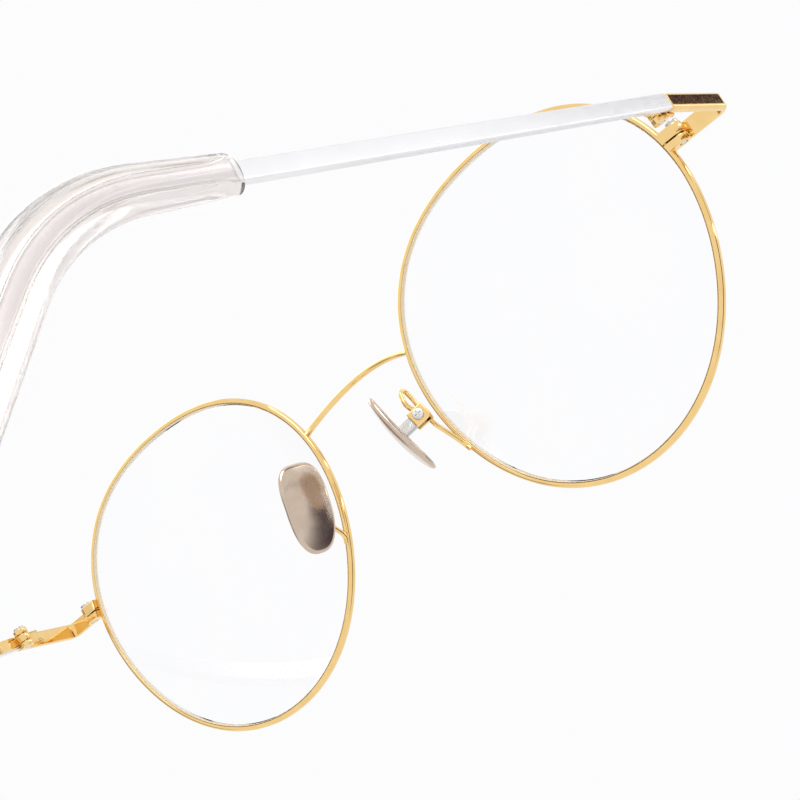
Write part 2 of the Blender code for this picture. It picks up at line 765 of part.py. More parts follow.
def make_lug():
    """The tongue on the pad's back, round about the pad screw."""
    pad_back = -PAD_REACH + PAD_THICKNESS / 2 + LUG_SEAT
    half = LUG_HEIGHT / 2
    outline = [(pad_back, -half), (0.0, -half)]
    for n in range(1, 8):
        angle = math.radians(-90 + 180 * n / 8)
        outline.append((half * math.cos(angle), half * math.sin(angle)))
    outline += [(0.0, half), (pad_back, half)]
    lug = plate("left_pad_lug", outline, LUG_THICKNESS, [(0, 0, PAD_SCREW_RADIUS + RUNNING_FIT)])
    rotated_mesh(lug, math.radians(90), "X")
    lug.parent = PAD_AXIS
    return finish(lug, STEEL)


BOX_LOW = -BOX_WIDTH / 2
BOX_HIGH = LUG_HEIGHT / 2 + 2 * RUNNING_FIT + BOX_WEB


def make_pad_box():
    """The U-shaped box that holds the lug, open to the nose, above and below."""
    size = (BOX_HIGH - BOX_LOW, BOX_DEPTH, BOX_HEIGHT)
    centre = ((BOX_HIGH + BOX_LOW) / 2, 0, 0)
    pad_box = bevelled(box("left_pad_box", size, centre), BOX_EDGE)
    slot_size = (2 * BOX_WIDTH, LUG_THICKNESS + 2 * RUNNING_FIT, 2 * BOX_HEIGHT)
    slot = box("slot", slot_size, (BOX_HIGH - BOX_WEB - BOX_WIDTH, 0, 0))
    pad_box = boolean(pad_box, cutter(slot))
    bore = rod("bore", PAD_SCREW_RADIUS + RUNNING_FIT, 2 * BOX_DEPTH, axis="Y")
    pad_box = boolean(pad_box, cutter(bore))
    pad_box.parent = PAD_AXIS_FIXED
    return finish(pad_box, GOLD)


def make_pad_screw():
    screw = screw_body(
        "left_pad_screw", PAD_SCREW_RADIUS, PAD_SCREW_HEAD, PAD_SCREW_HEAD_HEIGHT, BOX_DEPTH, (0, 0, 0)
    )
    rotated_mesh(screw, math.radians(-90), "X")
    screw.location = (0, BOX_DEPTH / 2 + SEAT_GAP, 0)
    screw.parent = PAD_AXIS_FIXED
    return screw


def make_pad_arm():
    """A wire from the back of the rim, up in a loop and down on to the box."""
    rear = RIM_DEPTH / 2 + ARM_WIRE + SEAT_GAP
    screw = Vector(PAD_SCREW_PLACE)
    points = [on_rim(ARM_ANGLE + ARM_FOOT, 0.0, rear), on_rim(ARM_ANGLE, 0.0, rear + ARM_RISE)]
    points += [screw + Vector(step) / 1000 for step in ARM_PATH]
    points.append(screw + PAD_TURN @ Vector((*ARM_LANDING, BOX_HEIGHT / 2 + SEAT_GAP)))
    arm = wire("left_pad_arm", points, ARM_WIRE, resolution=3)
    arm.parent = STAND
    size = (2 * BOX_WIDTH, BOX_DEPTH + 2 * SEAT_GAP, BOX_HEIGHT + 2 * SEAT_GAP)
    keep_out = place(box("box_clearance", size), PAD_SCREW_PLACE, PAD_ROTATION, STAND)
    return finish(boolean(arm, cutter(keep_out)), GOLD)


def under_mirror(obj):
    place_of = (-obj.location.x, obj.location.y, obj.location.z)
    turn = obj.rotation_euler
    parent = obj.parent
    if parent and parent.name.startswith("left"):
        parent = bpy.data.objects[parent.name.replace("left", "right")]
    return empty(obj.name.replace("left", "right"), place_of, (turn.x, -turn.y, -turn.z), parent)


TEMPLE_PLANE = empty("temple_plane", TEMPLE_START, (-TEMPLE_DROP, 0, 0), STAND)
TEMPLE_EDGE = LOCK_POINT.x + TEMPLE_SPREAD
HINGE_LINE = (
    TEMPLE_EDGE - HINGE_BACK * math.sin(TEMPLE_SPLAY) - HINGE_INSET * math.cos(TEMPLE_SPLAY),
    HINGE_BACK * math.cos(TEMPLE_SPLAY) - HINGE_INSET * math.sin(TEMPLE_SPLAY),
    0.0,
)
HINGE_FRAME = empty("left_hinge_axis", HINGE_LINE, (0, 0, TEMPLE_SPLAY), TEMPLE_PLANE)
TEMPLE_AXIS = empty("left_temple_axis", HINGE_LINE, (0, 0, TEMPLE_SPLAY), TEMPLE_PLANE)
END_FRAME = empty("left_endpiece_frame", (0, 0, 0), (TEMPLE_DROP - END_DROP, 0, 0), HINGE_FRAME)
LOCK_BACK = END_THICKNESS / 2 + SEAT_GAP + BARREL_RADIUS
LOCK_PLACE = (
    HINGE_INSET - BARREL_INSET * math.cos(TEMPLE_SPLAY) + LOCK_BACK * math.sin(TEMPLE_SPLAY),
    -END_LENGTH + BARREL_INSET * math.sin(TEMPLE_SPLAY) + LOCK_BACK * math.cos(TEMPLE_SPLAY),
    0.0,
)
LOCK_FRAME = empty("left_lock_axis", LOCK_PLACE, (0, 0, -TEMPLE_SPLAY), END_FRAME)
PAD_ROTATION = (PAD_LEAN, -PAD_FLARE, -PAD_SPLAY)
PAD_AXIS = empty("left_pad_axis", PAD_SCREW_PLACE, PAD_ROTATION, STAND)
PAD_AXIS_FIXED = empty("left_pad_box_axis", PAD_SCREW_PLACE, PAD_ROTATION, STAND)
PAD_TURN = PAD_AXIS.rotation_euler.to_matrix()
bpy.context.view_layer.update()

LEFT_PIECES = [
    make_rim(),
    make_lens(),
    make_endpiece(),
    make_closing_barrel("left_upper_closing_barrel", SPLIT_HEIGHT + BARREL_SPLIT / 2, UPPER_BARREL_TOP),
    make_closing_barrel("left_lower_closing_barrel", LOWER_BARREL_BOTTOM, SPLIT_HEIGHT - BARREL_SPLIT / 2),
    make_lock_screw(),
    make_hinge_leaf(
        "left_front_hinge",
        -1,
        [(OUTER_KNUCKLE, OUTER_KNUCKLE_PLACE), (OUTER_KNUCKLE, -OUTER_KNUCKLE_PLACE)],
        HINGE_FRAME,
    ),
    make_hinge_leaf("left_temple_hinge", 1, [(KNUCKLE_HEIGHT, 0.0)], TEMPLE_AXIS),
    make_hinge_screw(),
    make_temple(),
    make_sleeve(),
    make_pad(),
    make_lug(),
    make_pad_box(),
    make_pad_screw(),
    make_pad_arm(),
]
make_bridge()

for left_empty in (HINGE_FRAME, END_FRAME, LOCK_FRAME, TEMPLE_AXIS, PAD_AXIS, PAD_AXIS_FIXED):
    under_mirror(left_empty)
for piece in LEFT_PIECES:
    parent_name = piece.parent.name.replace("left", "right")
    reflect(piece, piece.name.replace("left", "right"), bpy.data.objects[parent_name])


def corners(names):
    """Every corner of these objects in world space."""
    bpy.context.view_layer.update()
    found = []
    for name in names:
        obj = bpy.data.objects[name]
        found += [obj.matrix_world @ vertex.co for vertex in obj.data.vertices]
    return found


def stand_up():
    """Tilts the whole front frame until rims and tips touch one level, and centres it over the origin."""
    front = corners(["left_rim"])
    rear = corners(["left_temple_tip"])
    tilt = 0.0
    for _ in range(8):
        down = Vector((0, math.sin(tilt), math.cos(tilt)))
        low_front = min(front, key=down.dot)
        low_rear = min(rear, key=down.dot)
        tilt = math.atan2(low_front.z - low_rear.z, low_rear.y - low_front.y)
    STAND.rotation_euler = (tilt, 0, 0)
    every = corners([obj.name for obj in PARTS.objects if obj.type == "MESH"])
    depths = [point.y for point in every]
    lowest = min(point.z for point in every)
    STAND.location = (0, -(min(depths) + max(depths)) / 2, -lowest)


stand_up()
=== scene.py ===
"""Round metal eyeglasses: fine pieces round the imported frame, on a pale floor in soft light."""

import math

import bmesh
import bpy
from mathutils import Euler, Matrix, Vector


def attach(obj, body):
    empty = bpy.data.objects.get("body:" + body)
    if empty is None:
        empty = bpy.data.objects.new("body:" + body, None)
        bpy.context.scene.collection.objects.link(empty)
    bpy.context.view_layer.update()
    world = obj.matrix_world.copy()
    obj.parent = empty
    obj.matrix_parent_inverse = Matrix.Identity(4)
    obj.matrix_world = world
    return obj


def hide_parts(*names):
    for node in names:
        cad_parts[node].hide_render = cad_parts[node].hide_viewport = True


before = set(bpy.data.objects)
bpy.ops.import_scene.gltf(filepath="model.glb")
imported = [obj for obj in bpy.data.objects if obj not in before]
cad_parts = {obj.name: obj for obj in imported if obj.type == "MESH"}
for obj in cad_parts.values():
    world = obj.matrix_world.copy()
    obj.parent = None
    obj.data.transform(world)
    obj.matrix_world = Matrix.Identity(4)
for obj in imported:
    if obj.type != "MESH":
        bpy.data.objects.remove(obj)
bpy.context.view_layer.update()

# Rims and lenses. Lengths are in metres and places as in the part
RIM_RADIUS = 0.0240
RIM_OVAL = 0.009
RIM_BROW = 0.029
RIM_SQUARE = -0.007
LENS_CENTRES = 0.06833
WRAP = math.radians(2.75)
RIM_WALL = 0.00068
RIM_DEPTH = 0.00105
RIM_ROUND = 0.00034
RIM_INNER_ROUND = 0.00010
GROOVE_DEPTH = 0.00026
GROOVE_WIDTH = 0.00060
GROOVE_LIP_ROUND = 0.00004
GROOVE_ROOT_ROUND = 0.00005
SPLIT_ANGLE = math.radians(15.0)
SPLIT_WIDTH = 0.00020
LENS_CURVE = 0.132
LENS_THICKNESS = 0.0012
LENS_FIT = 0.00008
LENS_CHAMFER = 0.00012
RIM_STEPS = 360
LENS_STEPS = 240
LENS_RINGS = 26

# How far soldered pieces run into what they are soldered to
SOLDER_SINK = 0.00012

# Bridge
BRIDGE_WIRE = 0.00044
BRIDGE_ANGLE = math.radians(162.0)
BRIDGE_RISE = 0.0029
BRIDGE_FORWARD = 0.0029
BRIDGE_SWELL = 0.30
BRIDGE_SWELL_SHARE = 0.05
BRIDGE_STEPS = 40

# Nose pads and what holds them
PAD_SCREW_PLACE = Vector((0.0120024, 0.0090045, -0.0033997))
PAD_ROTATION = (math.radians(3.9), math.radians(-14.9), math.radians(-30.0))
PAD_REACH = 0.0038
PAD_LENGTH = 0.0127
PAD_WIDTH = 0.0067
PAD_TOP_SQUARE = 0.62
PAD_FOOT_SQUARE = 0.78
PAD_SIDE_SQUARE = 0.72
PAD_TAPER = 0.09
PAD_THICKNESS = 0.0012
PAD_FACE_CROWN = 0.024
PAD_BACK_CROWN = 0.060
PAD_OFFSET = 0.0002
PAD_SINK = 0.00015
LUG_THICKNESS = 0.00085
LUG_HEIGHT = 0.0017
LUG_EDGE = 0.00010
LUG_SINK = 0.00005
LUG_STEPS = 24
BOX_WIDTH = 0.0024
BOX_HEIGHT = 0.0022
BOX_DEPTH = 0.0022
BOX_WEB = 0.00040
BOX_EDGE = 0.00016
PAD_SCREW_RADIUS = 0.00040
PAD_SCREW_HEAD = 0.00078
PAD_SCREW_HEAD_HEIGHT = 0.00030
ARM_WIRE = 0.00034
ARM_ANGLE = math.radians(200.5)
ARM_FOOT = math.radians(2.0)
ARM_STAND_OFF = 0.8
ARM_LIFT = 0.0001
ARM_LANDING = (0.0001, -0.0001)
ARM_SWELLS = (1.12, 1.08, 1.15)

# The arm's way from its foot to the box, in millimetres from the pad screw
ARM_PATH = (
    (-0.05, -5.60, -3.40),
    (-0.10, -3.90, -2.05),
    (-0.05, -2.60, -1.15),
    (-0.05, -1.90, 0.15),
    (-0.30, -1.50, 1.80),
    (-0.45, -1.15, 3.30),
    (-0.60, -0.60, 4.30),
    (-0.72, 0.00, 4.25),
    (-0.78, 0.30, 3.35),
    (-0.73, 0.40, 2.30),
)

# Temple plane, endpieces and closing barrels
TEMPLE_START = Vector((0.0, 0.0019974, 0.0076537))
TEMPLE_DROP = math.radians(8.53)
TEMPLE_SPLAY = math.radians(6.8)
HINGE_LINE = Vector((0.0629112, 0.0140737, 0.0))
END_DROP = math.radians(3.9)
END_THICKNESS = 0.0010
END_HEIGHT = 0.0023
END_LENGTH = 0.01405
END_WIDTH = 0.00968
END_CORNER = 0.0013
END_EDGE = 0.00014
END_CROWN = 0.00048
END_TURN_STEPS = 20
END_CORNER_STEPS = 6
LOCK_PLACE = Vector((-0.0042655, -0.0117035, 0.0))
BARREL_RADIUS = 0.00105
BARREL_FOOT = 0.00328
BARREL_TOP = 0.00125
BARREL_BOTTOM = -0.00145
BARREL_SPLIT = 0.00016
BARREL_EDGE = 0.00018
SPLIT_HEIGHT = -0.00035
LOCK_SCREW_RADIUS = 0.00050
LOCK_SCREW_HEAD = 0.00085
LOCK_SCREW_HEAD_HEIGHT = 0.00050
LOCK_SCREW_TURN = math.radians(25)

# Hinges
HINGE_INSET = 0.0019
HINGE_PLAY = 0.00010
KNUCKLE_RADIUS = 0.00105
KNUCKLE_HEIGHT = 0.00110
KNUCKLE_EDGE = 0.00010
HINGE_HEIGHT = 0.0029
LEAF_THICKNESS = 0.0006
LEAF_LENGTH = 0.0036
LEAF_HEIGHT = 0.0018
LEAF_START = 0.00115
LEAF_EDGE = 0.00012
LEAF_ARM_THICKNESS = 0.82
LEAF_ARM_HEIGHT = 0.97
LEAF_ARM_INSET = 0.00004
LEAF_ARM_LAP = 0.0003
LEAF_ARM_EDGE = 0.00006
LEAF_ARM_GAP = 0.00012
HINGE_SCREW_RADIUS = 0.00045
HINGE_SCREW_HEAD = 0.00080
HINGE_SCREW_HEAD_HEIGHT = 0.00035
HINGE_SCREW_TURN = math.radians(-35)

# Temples and tips
TEMPLE_THICKNESS = 0.0010
TEMPLE_HEIGHT = 0.0021
TEMPLE_EDGE = 0.00022
TEMPLE_NECK = 0.012
TEMPLE_WAIST = 0.0020
CORE_HEIGHT = 0.0013
CORE_LEAD = 0.003
CORE_END = 0.0100
SLEEVE_START = 0.0765
BEND_START = 0.0870
BEND_RADIUS = 0.0260
BEND_ANGLE = math.radians(40.0)
TEMPLE_LENGTH = 0.1400
SLEEVE_THICKNESS = 0.0030
SLEEVE_HEIGHT = 0.0054
SLEEVE_MOUTH_HEIGHT = 0.0038
SLEEVE_MOUTH_THICKNESS = 0.0025
SLEEVE_SWELL = 0.7
SLEEVE_FIT = 0.00020
SLEEVE_LIP = 0.00035
SLEEVE_BORE_SQUARE = 0.35
SLEEVE_STEPS = 70
BORE_STEPS = 40
OVAL_STEPS = 48

# Screw slots, bores and cutters
SLOT_WIDTH = 0.00022
SLOT_DEPTH = 0.00018
RUNNING_FIT = 0.00005
CUTTER_LENGTH = 0.01
CUTTER_REACH = 0.008

# Mesh work
WELD = 1e-7
TURN_STEPS = 64
WIRE_BEVEL_STEPS = 6
PLATE_BEVEL_STEPS = 3
EDGE_STEPS = 4
EDGE_SHRINK = 0.999  # keeps a corner's shrinking radius just above nothing
SOFT_EDGE = math.radians(40)
LENS_SOFT_EDGE = math.radians(30)


def frame_at(place, turn=(0, 0, 0), parent=None):
    """A place and a turn as a matrix, within its parent's."""
    made = Matrix.Translation(place) @ Euler(turn).to_matrix().to_4x4()
    return made if parent is None else parent @ made


STAND = frame_at((0, -0.0706193, 0.0242190), (0.130313978, 0, 0))
LENS_SAG = RIM_RADIUS**2 / (2 * LENS_CURVE)
LENS_FRAME = frame_at((LENS_CENTRES / 2, LENS_SAG, 0), (math.radians(90), 0, WRAP), STAND)
TEMPLE_PLANE = frame_at(TEMPLE_START, (-TEMPLE_DROP, 0, 0), STAND)
HINGE_FRAME = frame_at(HINGE_LINE, (0, 0, TEMPLE_SPLAY), TEMPLE_PLANE)
END_FRAME = frame_at((0, 0, 0), (TEMPLE_DROP - END_DROP, 0, 0), HINGE_FRAME)
LOCK_FRAME = frame_at(LOCK_PLACE, (0, 0, -TEMPLE_SPLAY), END_FRAME)
PAD_FRAME = frame_at(PAD_SCREW_PLACE, PAD_ROTATION, STAND)
MIRROR = Matrix.Scale(-1, 4, (1, 0, 0))


def new_object(name, data):
    made = bpy.data.objects.new(name, data)
    bpy.context.scene.collection.objects.link(made)
    return made


# Materials
METAL_GRAIN = 0.4e-6
PLASTIC_GRAIN = 1.0e-6
LENS_IOR = 1.50
TIP_IOR = 1.49


def shader_of(name):
    made = bpy.data.materials.new(name)
    made.use_nodes = True
    tree = made.node_tree
    return made, tree, tree.nodes["Principled BSDF"]


def noise(tree, scale, stretch=(1, 1, 1), detail=3.0):
    """Noise in the object's own space, in features per metre."""
    place = tree.nodes.new("ShaderNodeTexCoord")
    mapping = tree.nodes.new("ShaderNodeMapping")
    mapping.inputs["Scale"].default_value = stretch
    made = tree.nodes.new("ShaderNodeTexNoise")
    made.inputs["Scale"].default_value = scale
    made.inputs["Detail"].default_value = detail
    tree.links.new(place.outputs["Object"], mapping.inputs["Vector"])
    tree.links.new(mapping.outputs["Vector"], made.inputs["Vector"])
    return made.outputs["Fac"]


def ranged(tree, value, low, high, start=0.3, stop=0.7, curve="LINEAR"):
    """The value moved from start and stop to low and high, and no further than these."""
    made = tree.nodes.new("ShaderNodeMapRange")
    made.interpolation_type = curve
    made.inputs["From Min"].default_value = start
    made.inputs["From Max"].default_value = stop
    made.inputs["To Min"].default_value = low
    made.inputs["To Max"].default_value = high
    tree.links.new(value, made.inputs["Value"])
    return made.outputs["Result"]


def blended(tree, value, first, second):
    """The first colour where the value is 0, the second where it is 1."""
    made = tree.nodes.new("ShaderNodeMix")
    made.data_type = "RGBA"
    made.inputs[6].default_value = (*first, 1.0)
    made.inputs[7].default_value = (*second, 1.0)
    tree.links.new(value, made.inputs[0])
    return made.outputs[2]


def bumped(tree, value, shader, height):
    made = tree.nodes.new("ShaderNodeBump")
    made.inputs["Strength"].default_value = 1.0
    made.inputs["Distance"].default_value = height
    tree.links.new(value, made.inputs["Height"])
    tree.links.new(made.outputs["Normal"], shader.inputs["Normal"])


def coloured(tree, value, shader, light, dark):
    tree.links.new(blended(tree, value, light, dark), shader.inputs["Base Color"])


def mixed(tree, factor, first, second):
    """The first shader where the factor is 0, the second where it is 1."""
    made = tree.nodes.new("ShaderNodeMixShader")
    tree.links.new(factor, made.inputs[0])
    tree.links.new(first.outputs[0], made.inputs[1])
    tree.links.new(second.outputs[0], made.inputs[2])
    return made


def compared(tree, operation, first, second):
    """One value from two, by MAXIMUM or GREATER_THAN."""
    made = tree.nodes.new("ShaderNodeMath")
    made.operation = operation
    tree.links.new(first, made.inputs[0])
    tree.links.new(second, made.inputs[1])
    return made.outputs["Value"]


def surfaced(tree, shader):
    tree.links.new(shader.outputs[0], tree.nodes["Material Output"].inputs["Surface"])


def metal(name, light, dark, roughness, patches=420.0, grain=3000.0, stretch=(1, 1, 1)):
    """Metal whose colour drifts softly, with a fine grain in its polish."""
    made, tree, shader = shader_of(name)
    shader.inputs["Metallic"].default_value = 1.0
    drift = ranged(tree, noise(tree, patches), 0.0, 1.0)
    coloured(tree, drift, shader, light, dark)
    fine = noise(tree, grain, stretch, detail=2.0)
    tree.links.new(ranged(tree, fine, *roughness), shader.inputs["Roughness"])
    bumped(tree, fine, shader, METAL_GRAIN)
    return made


def lens_material():
    """Clear plastic with a faint haze in its coating. Its shadow is as light as the real one's."""
    made, tree, shader = shader_of("lens_clear")
    haze = noise(tree, 60.0)
    tint = ranged(tree, haze, 0.0, 1.0)
    coloured(tree, tint, shader, (1.0, 1.0, 1.0), (0.990, 0.994, 1.0))
    tree.links.new(ranged(tree, haze, 0.0, 0.010), shader.inputs["Roughness"])
    shader.inputs["Transmission Weight"].default_value = 1.0
    shader.inputs["IOR"].default_value = LENS_IOR
    path = tree.nodes.new("ShaderNodeLightPath")
    clear = tree.nodes.new("ShaderNodeBsdfTransparent")
    clear.inputs["Color"].default_value = (0.93, 0.94, 0.95, 1.0)
    shadow, diffuse = path.outputs["Is Shadow Ray"], path.outputs["Is Diffuse Ray"]
    unseen = compared(tree, "MAXIMUM", shadow, diffuse)
    surfaced(tree, mixed(tree, unseen, shader, clear))
    return made


def lens_edge_painted_gold_material():
    """The ground edge of the lens, frosted by the stone; its gold is a painted reflection of the
    groove.
    """
    made, tree, shader = shader_of("lens_ground_edge_painted_gold")
    stone = noise(tree, 1500.0)
    shade = ranged(tree, stone, 0.0, 1.0)
    # Painted reflection: both golds stand in for the groove's gold seen through the clear edge
    coloured(tree, shade, shader, (1.00, 0.86, 0.62), (0.98, 0.82, 0.56))
    tree.links.new(ranged(tree, stone, 0.45, 0.60), shader.inputs["Roughness"])
    shader.inputs["IOR"].default_value = LENS_IOR
    return made


def tip_material():
    """Pale pinkish plastic, almost clear, with soft clouds in it."""
    made, tree, shader = shader_of("tip_pale")
    clouds = ranged(tree, noise(tree, 170.0, (1, 0.4, 1)), 0.0, 1.0, 0.35, 0.65)
    coloured(tree, clouds, shader, (1.00, 0.965, 0.945), (0.98, 0.93, 0.90))
    fine = noise(tree, 2600.0)
    tree.links.new(ranged(tree, fine, 0.10, 0.17), shader.inputs["Roughness"])
    shader.inputs["Transmission Weight"].default_value = 0.96
    shader.inputs["IOR"].default_value = TIP_IOR
    bumped(tree, fine, shader, PLASTIC_GRAIN)
    return made


# Each metal: its light and dark colours and its range of roughness
GOLD = metal("gold_polished", (0.91, 0.66, 0.30), (0.86, 0.59, 0.24), (0.05, 0.11))
SILVER = metal(
    "temple_silver",
    (0.87, 0.875, 0.90),
    (0.84, 0.845, 0.87),
    (0.23, 0.27),
    patches=300.0,
    grain=5000.0,
    stretch=(1, 0.04, 1),
)
TITANIUM = metal("pad_titanium", (0.64, 0.53, 0.44), (0.57, 0.46, 0.37), (0.12, 0.18))
STEEL = metal("screw_steel", (0.66, 0.65, 0.64), (0.56, 0.55, 0.54), (0.14, 0.24))
LUG = metal("lug_titanium", (0.55, 0.54, 0.53), (0.47, 0.46, 0.45), (0.18, 0.28), patches=900.0)
LENS = lens_material()
LENS_EDGE_PAINTED_GOLD = lens_edge_painted_gold_material()
TIP = tip_material()


# Meshes
def tongue(back, radius, steps=32):
    """A flat outline from a straight back edge to a half-round end about the origin."""
    angles = [math.radians(-90 + 180 * n / steps) for n in range(steps + 1)]
    front = [radius * Vector((math.cos(angle), math.sin(angle))) for angle in angles]
    return [Vector((back, -radius)), *front, Vector((back, radius))]


def rounded(corners, steps=5):
    """A closed outline through (x, y, radius) corners, each rounded with its radius."""
    points = []
    for n, (x, y, radius) in enumerate(corners):
        here = Vector((x, y))
        before = (Vector(corners[n - 1][:2]) - here).normalized()
        after = (Vector(corners[(n + 1) % len(corners)][:2]) - here).normalized()
        half = before.angle(after) / 2
        centre = here + (before + after).normalized() * radius / math.sin(half)
        start = here + before * radius / math.tan(half) - centre
        stop = here + after * radius / math.tan(half) - centre
        first = math.atan2(start.y, start.x)
        sweep = (math.atan2(stop.y, stop.x) - first + math.pi) % (2 * math.pi) - math.pi
        for k in range(steps + 1):
            angle = first + sweep * k / steps
            points.append(centre + radius * Vector((math.cos(angle), math.sin(angle))))
    return points


def signed_power(value, power):
    return math.copysign(abs(value) ** power, value)


def rectangle(width, height, radius, steps=4, outer=None):
    """A rounded rectangle. The corners on its +X side may have their own radius."""
    x, y = width / 2, height / 2
    outer = radius if outer is None else outer
    return rounded([(x, y, outer), (-x, y, radius), (-x, -y, radius), (x, -y, outer)], steps)


def through(rings):
    """A closed mesh through rings of equal count, with flat ends."""
    work = bmesh.new()
    rows = [[work.verts.new(point) for point in ring] for ring in rings]
    for low, high in zip(rows, rows[1:]):
        for n in range(len(low)):
            after = (n + 1) % len(low)
            work.faces.new((low[n], low[after], high[after], high[n]))
    work.faces.new(rows[0][::-1])
    work.faces.new(rows[-1])
    bmesh.ops.recalc_face_normals(work, faces=work.faces)
    return as_object(work)


def as_object(work):
    mesh = bpy.data.meshes.new("piece")
    work.to_mesh(mesh)
    work.free()
    return new_object("piece", mesh)


def turned(profile, steps=TURN_STEPS):
    """A solid of revolution about Z from a profile of (radius, height) points."""
    work = bmesh.new()
    rows = []
    for n in range(steps):
        angle = 2 * math.pi * n / steps
        ring = [(r * math.cos(angle), r * math.sin(angle), z) for r, z in profile]
        rows.append([work.verts.new(point) for point in ring])
    closed = profile[0][0] > 0
    count = len(profile)
    for n in range(steps):
        low, high = rows[n], rows[(n + 1) % steps]
        for k in range(count if closed else count - 1):
            after = (k + 1) % count
            work.faces.new((low[k], low[after], high[after], high[k]))
    bmesh.ops.remove_doubles(work, verts=work.verts, dist=WELD)
    bmesh.ops.dissolve_degenerate(work, edges=work.edges, dist=WELD)
    bmesh.ops.recalc_face_normals(work, faces=work.faces)
    return as_object(work)


def evaluated(obj):
    """Applies the object's modifiers or turns its curve to a mesh, and welds the result."""
    bpy.context.view_layer.update()
    graph = bpy.context.evaluated_depsgraph_get()
    mesh = bpy.data.meshes.new_from_object(obj.evaluated_get(graph))
    work = bmesh.new()
    work.from_mesh(mesh)
    bmesh.ops.remove_doubles(work, verts=work.verts, dist=WELD)
    bpy.data.objects.remove(obj, do_unlink=True)
    return as_object(work)


def combined(obj, other, operation="DIFFERENCE"):
    """The first object less the second, or joined with it. The second is used up."""
    modifier = obj.modifiers.new("boolean", "BOOLEAN")
    modifier.object = other
    modifier.operation = operation
    modifier.solver = "EXACT"
    made = evaluated(obj)
    bpy.data.objects.remove(other, do_unlink=True)
    return made


def block(size, centre, edge=0.0, steps=3):
    work = bmesh.new()
    bmesh.ops.create_cube(work, size=1.0)
    bmesh.ops.scale(work, vec=size, verts=work.verts)
    bmesh.ops.translate(work, vec=centre, verts=work.verts)
    if edge:
        round_edge = {"offset": edge, "segments": steps, "profile": 0.5, "affect": "EDGES"}
        bmesh.ops.bevel(work, geom=work.edges, **round_edge)
    return as_object(work)


def rod(radius, height=CUTTER_LENGTH):
    """A round bar about Z, for cutting bores."""
    work = bmesh.new()
    both = {"radius1": radius, "radius2": radius}
    bmesh.ops.create_cone(work, cap_ends=True, segments=TURN_STEPS, depth=height, **both)
    return as_object(work)


def plate(outline, thickness, edge, middle=0.0):
    """A flat outline in XY with rounded edges, its thickness along Z."""
    curve = bpy.data.curves.new("plate", "CURVE")
    curve.dimensions = "2D"
    curve.fill_mode = "BOTH"
    curve.extrude = thickness / 2 - edge
    curve.bevel_depth = edge
    curve.bevel_resolution = PLATE_BEVEL_STEPS
    curve.offset = -edge
    spline = curve.splines.new("POLY")
    spline.points.add(len(outline) - 1)
    for point, (x, y) in zip(spline.points, outline):
        point.co = (x, y, 0.0, 1.0)
    spline.use_cyclic_u = True
    made = evaluated(new_object("plate", curve))
    made.data.transform(Matrix.Translation((0, 0, middle)))
    return made


def moved(obj, matrix):
    """Moves the mesh itself, and turns its faces round again where the matrix mirrors it."""
    obj.data.transform(matrix)
    if matrix.determinant() < 0:
        obj.data.flip_normals()
    return obj


def dressed(obj, node, material, body="front", sharp=SOFT_EDGE):
    """Finishes a piece that is in its place: its name, shading, material, body and node."""
    obj.name = node + "_fine"
    obj.data.name = obj.name
    if not obj.data.materials:
        obj.data.materials.append(material)
    obj.data.shade_smooth()
    obj.data.set_sharp_from_angle(angle=sharp)
    weighted = obj.modifiers.new("shading", "WEIGHTED_NORMAL")
    weighted.keep_sharp = True
    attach(obj, body)
    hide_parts(node)


def mirrored(obj):
    """A mirrored copy of a left piece, for the right side."""
    return moved(new_object("piece", obj.data.copy()), MIRROR)


def pair(obj, node, material, body="front", sharp=SOFT_EDGE):
    """A left piece in its place, and its mirror image for the right."""
    right = mirrored(obj)
    dressed(obj, "left_" + node, material, body.replace("side", "left"), sharp)
    dressed(right, "right_" + node, material, body.replace("side", "right"), sharp)


# Rims and lenses
def outline_scale(angle):
    """How far the rim reaches in this direction, where 1 is its radius."""
    oval = RIM_OVAL * math.cos(2 * angle)
    brow = RIM_BROW * math.sin(3 * angle)
    return 1 + oval + brow + RIM_SQUARE * math.cos(4 * angle)


def rim_point(angle, outwards=0.0, forwards=0.0):
    radius = (RIM_RADIUS + outwards) * outline_scale(angle)
    return Vector((radius * math.cos(angle), radius * math.sin(angle), forwards))


def on_rim(angle, outwards=0.0, rearwards=0.0):
    """A point of the left rim in the world."""
    return LENS_FRAME @ rim_point(angle, outwards, -rearwards)


def rim_disc():
    """A thick disc a little smaller than the rim, for cutting off what is soldered to the rim."""
    edge = RIM_WALL / 2 - SOLDER_SINK
    angles = [2 * math.pi * n / RIM_STEPS for n in range(RIM_STEPS)]
    sides = (-CUTTER_REACH, CUTTER_REACH)
    disc = through([[rim_point(angle, edge, side) for angle in angles] for side in sides])
    return moved(disc, LENS_FRAME)


def make_rim():
    half, depth, mouth = RIM_WALL / 2, RIM_DEPTH / 2, GROOVE_WIDTH / 2
    section = rounded(
        [
            (half, depth, RIM_ROUND),
            (-half, depth, RIM_INNER_ROUND),
            (-half, mouth, GROOVE_LIP_ROUND),
            (GROOVE_DEPTH - half, 0.0, GROOVE_ROOT_ROUND),
            (-half, -mouth, GROOVE_LIP_ROUND),
            (-half, -depth, RIM_INNER_ROUND),
            (half, -depth, RIM_ROUND),
        ]
    )
    gap = SPLIT_WIDTH / 2 / RIM_RADIUS
    rings = []
    for n in range(RIM_STEPS + 1):
        angle = SPLIT_ANGLE + gap + (2 * math.pi - 2 * gap) * n / RIM_STEPS
        rings.append([rim_point(angle, out, forward) for out, forward in section])
    pair(moved(through(rings), LENS_FRAME), "rim", GOLD)


LENS_RADIUS = RIM_RADIUS - RIM_WALL / 2 - LENS_FIT
ON_EDGE = 1 - 1e-4


def on_lens_edge(point):
    """Whether a point of the lens lies on its edge or on the bevel inside the groove."""
    angle = math.atan2(point.y, point.x)
    return math.hypot(point.x, point.y) / outline_scale(angle) / LENS_RADIUS > ON_EDGE


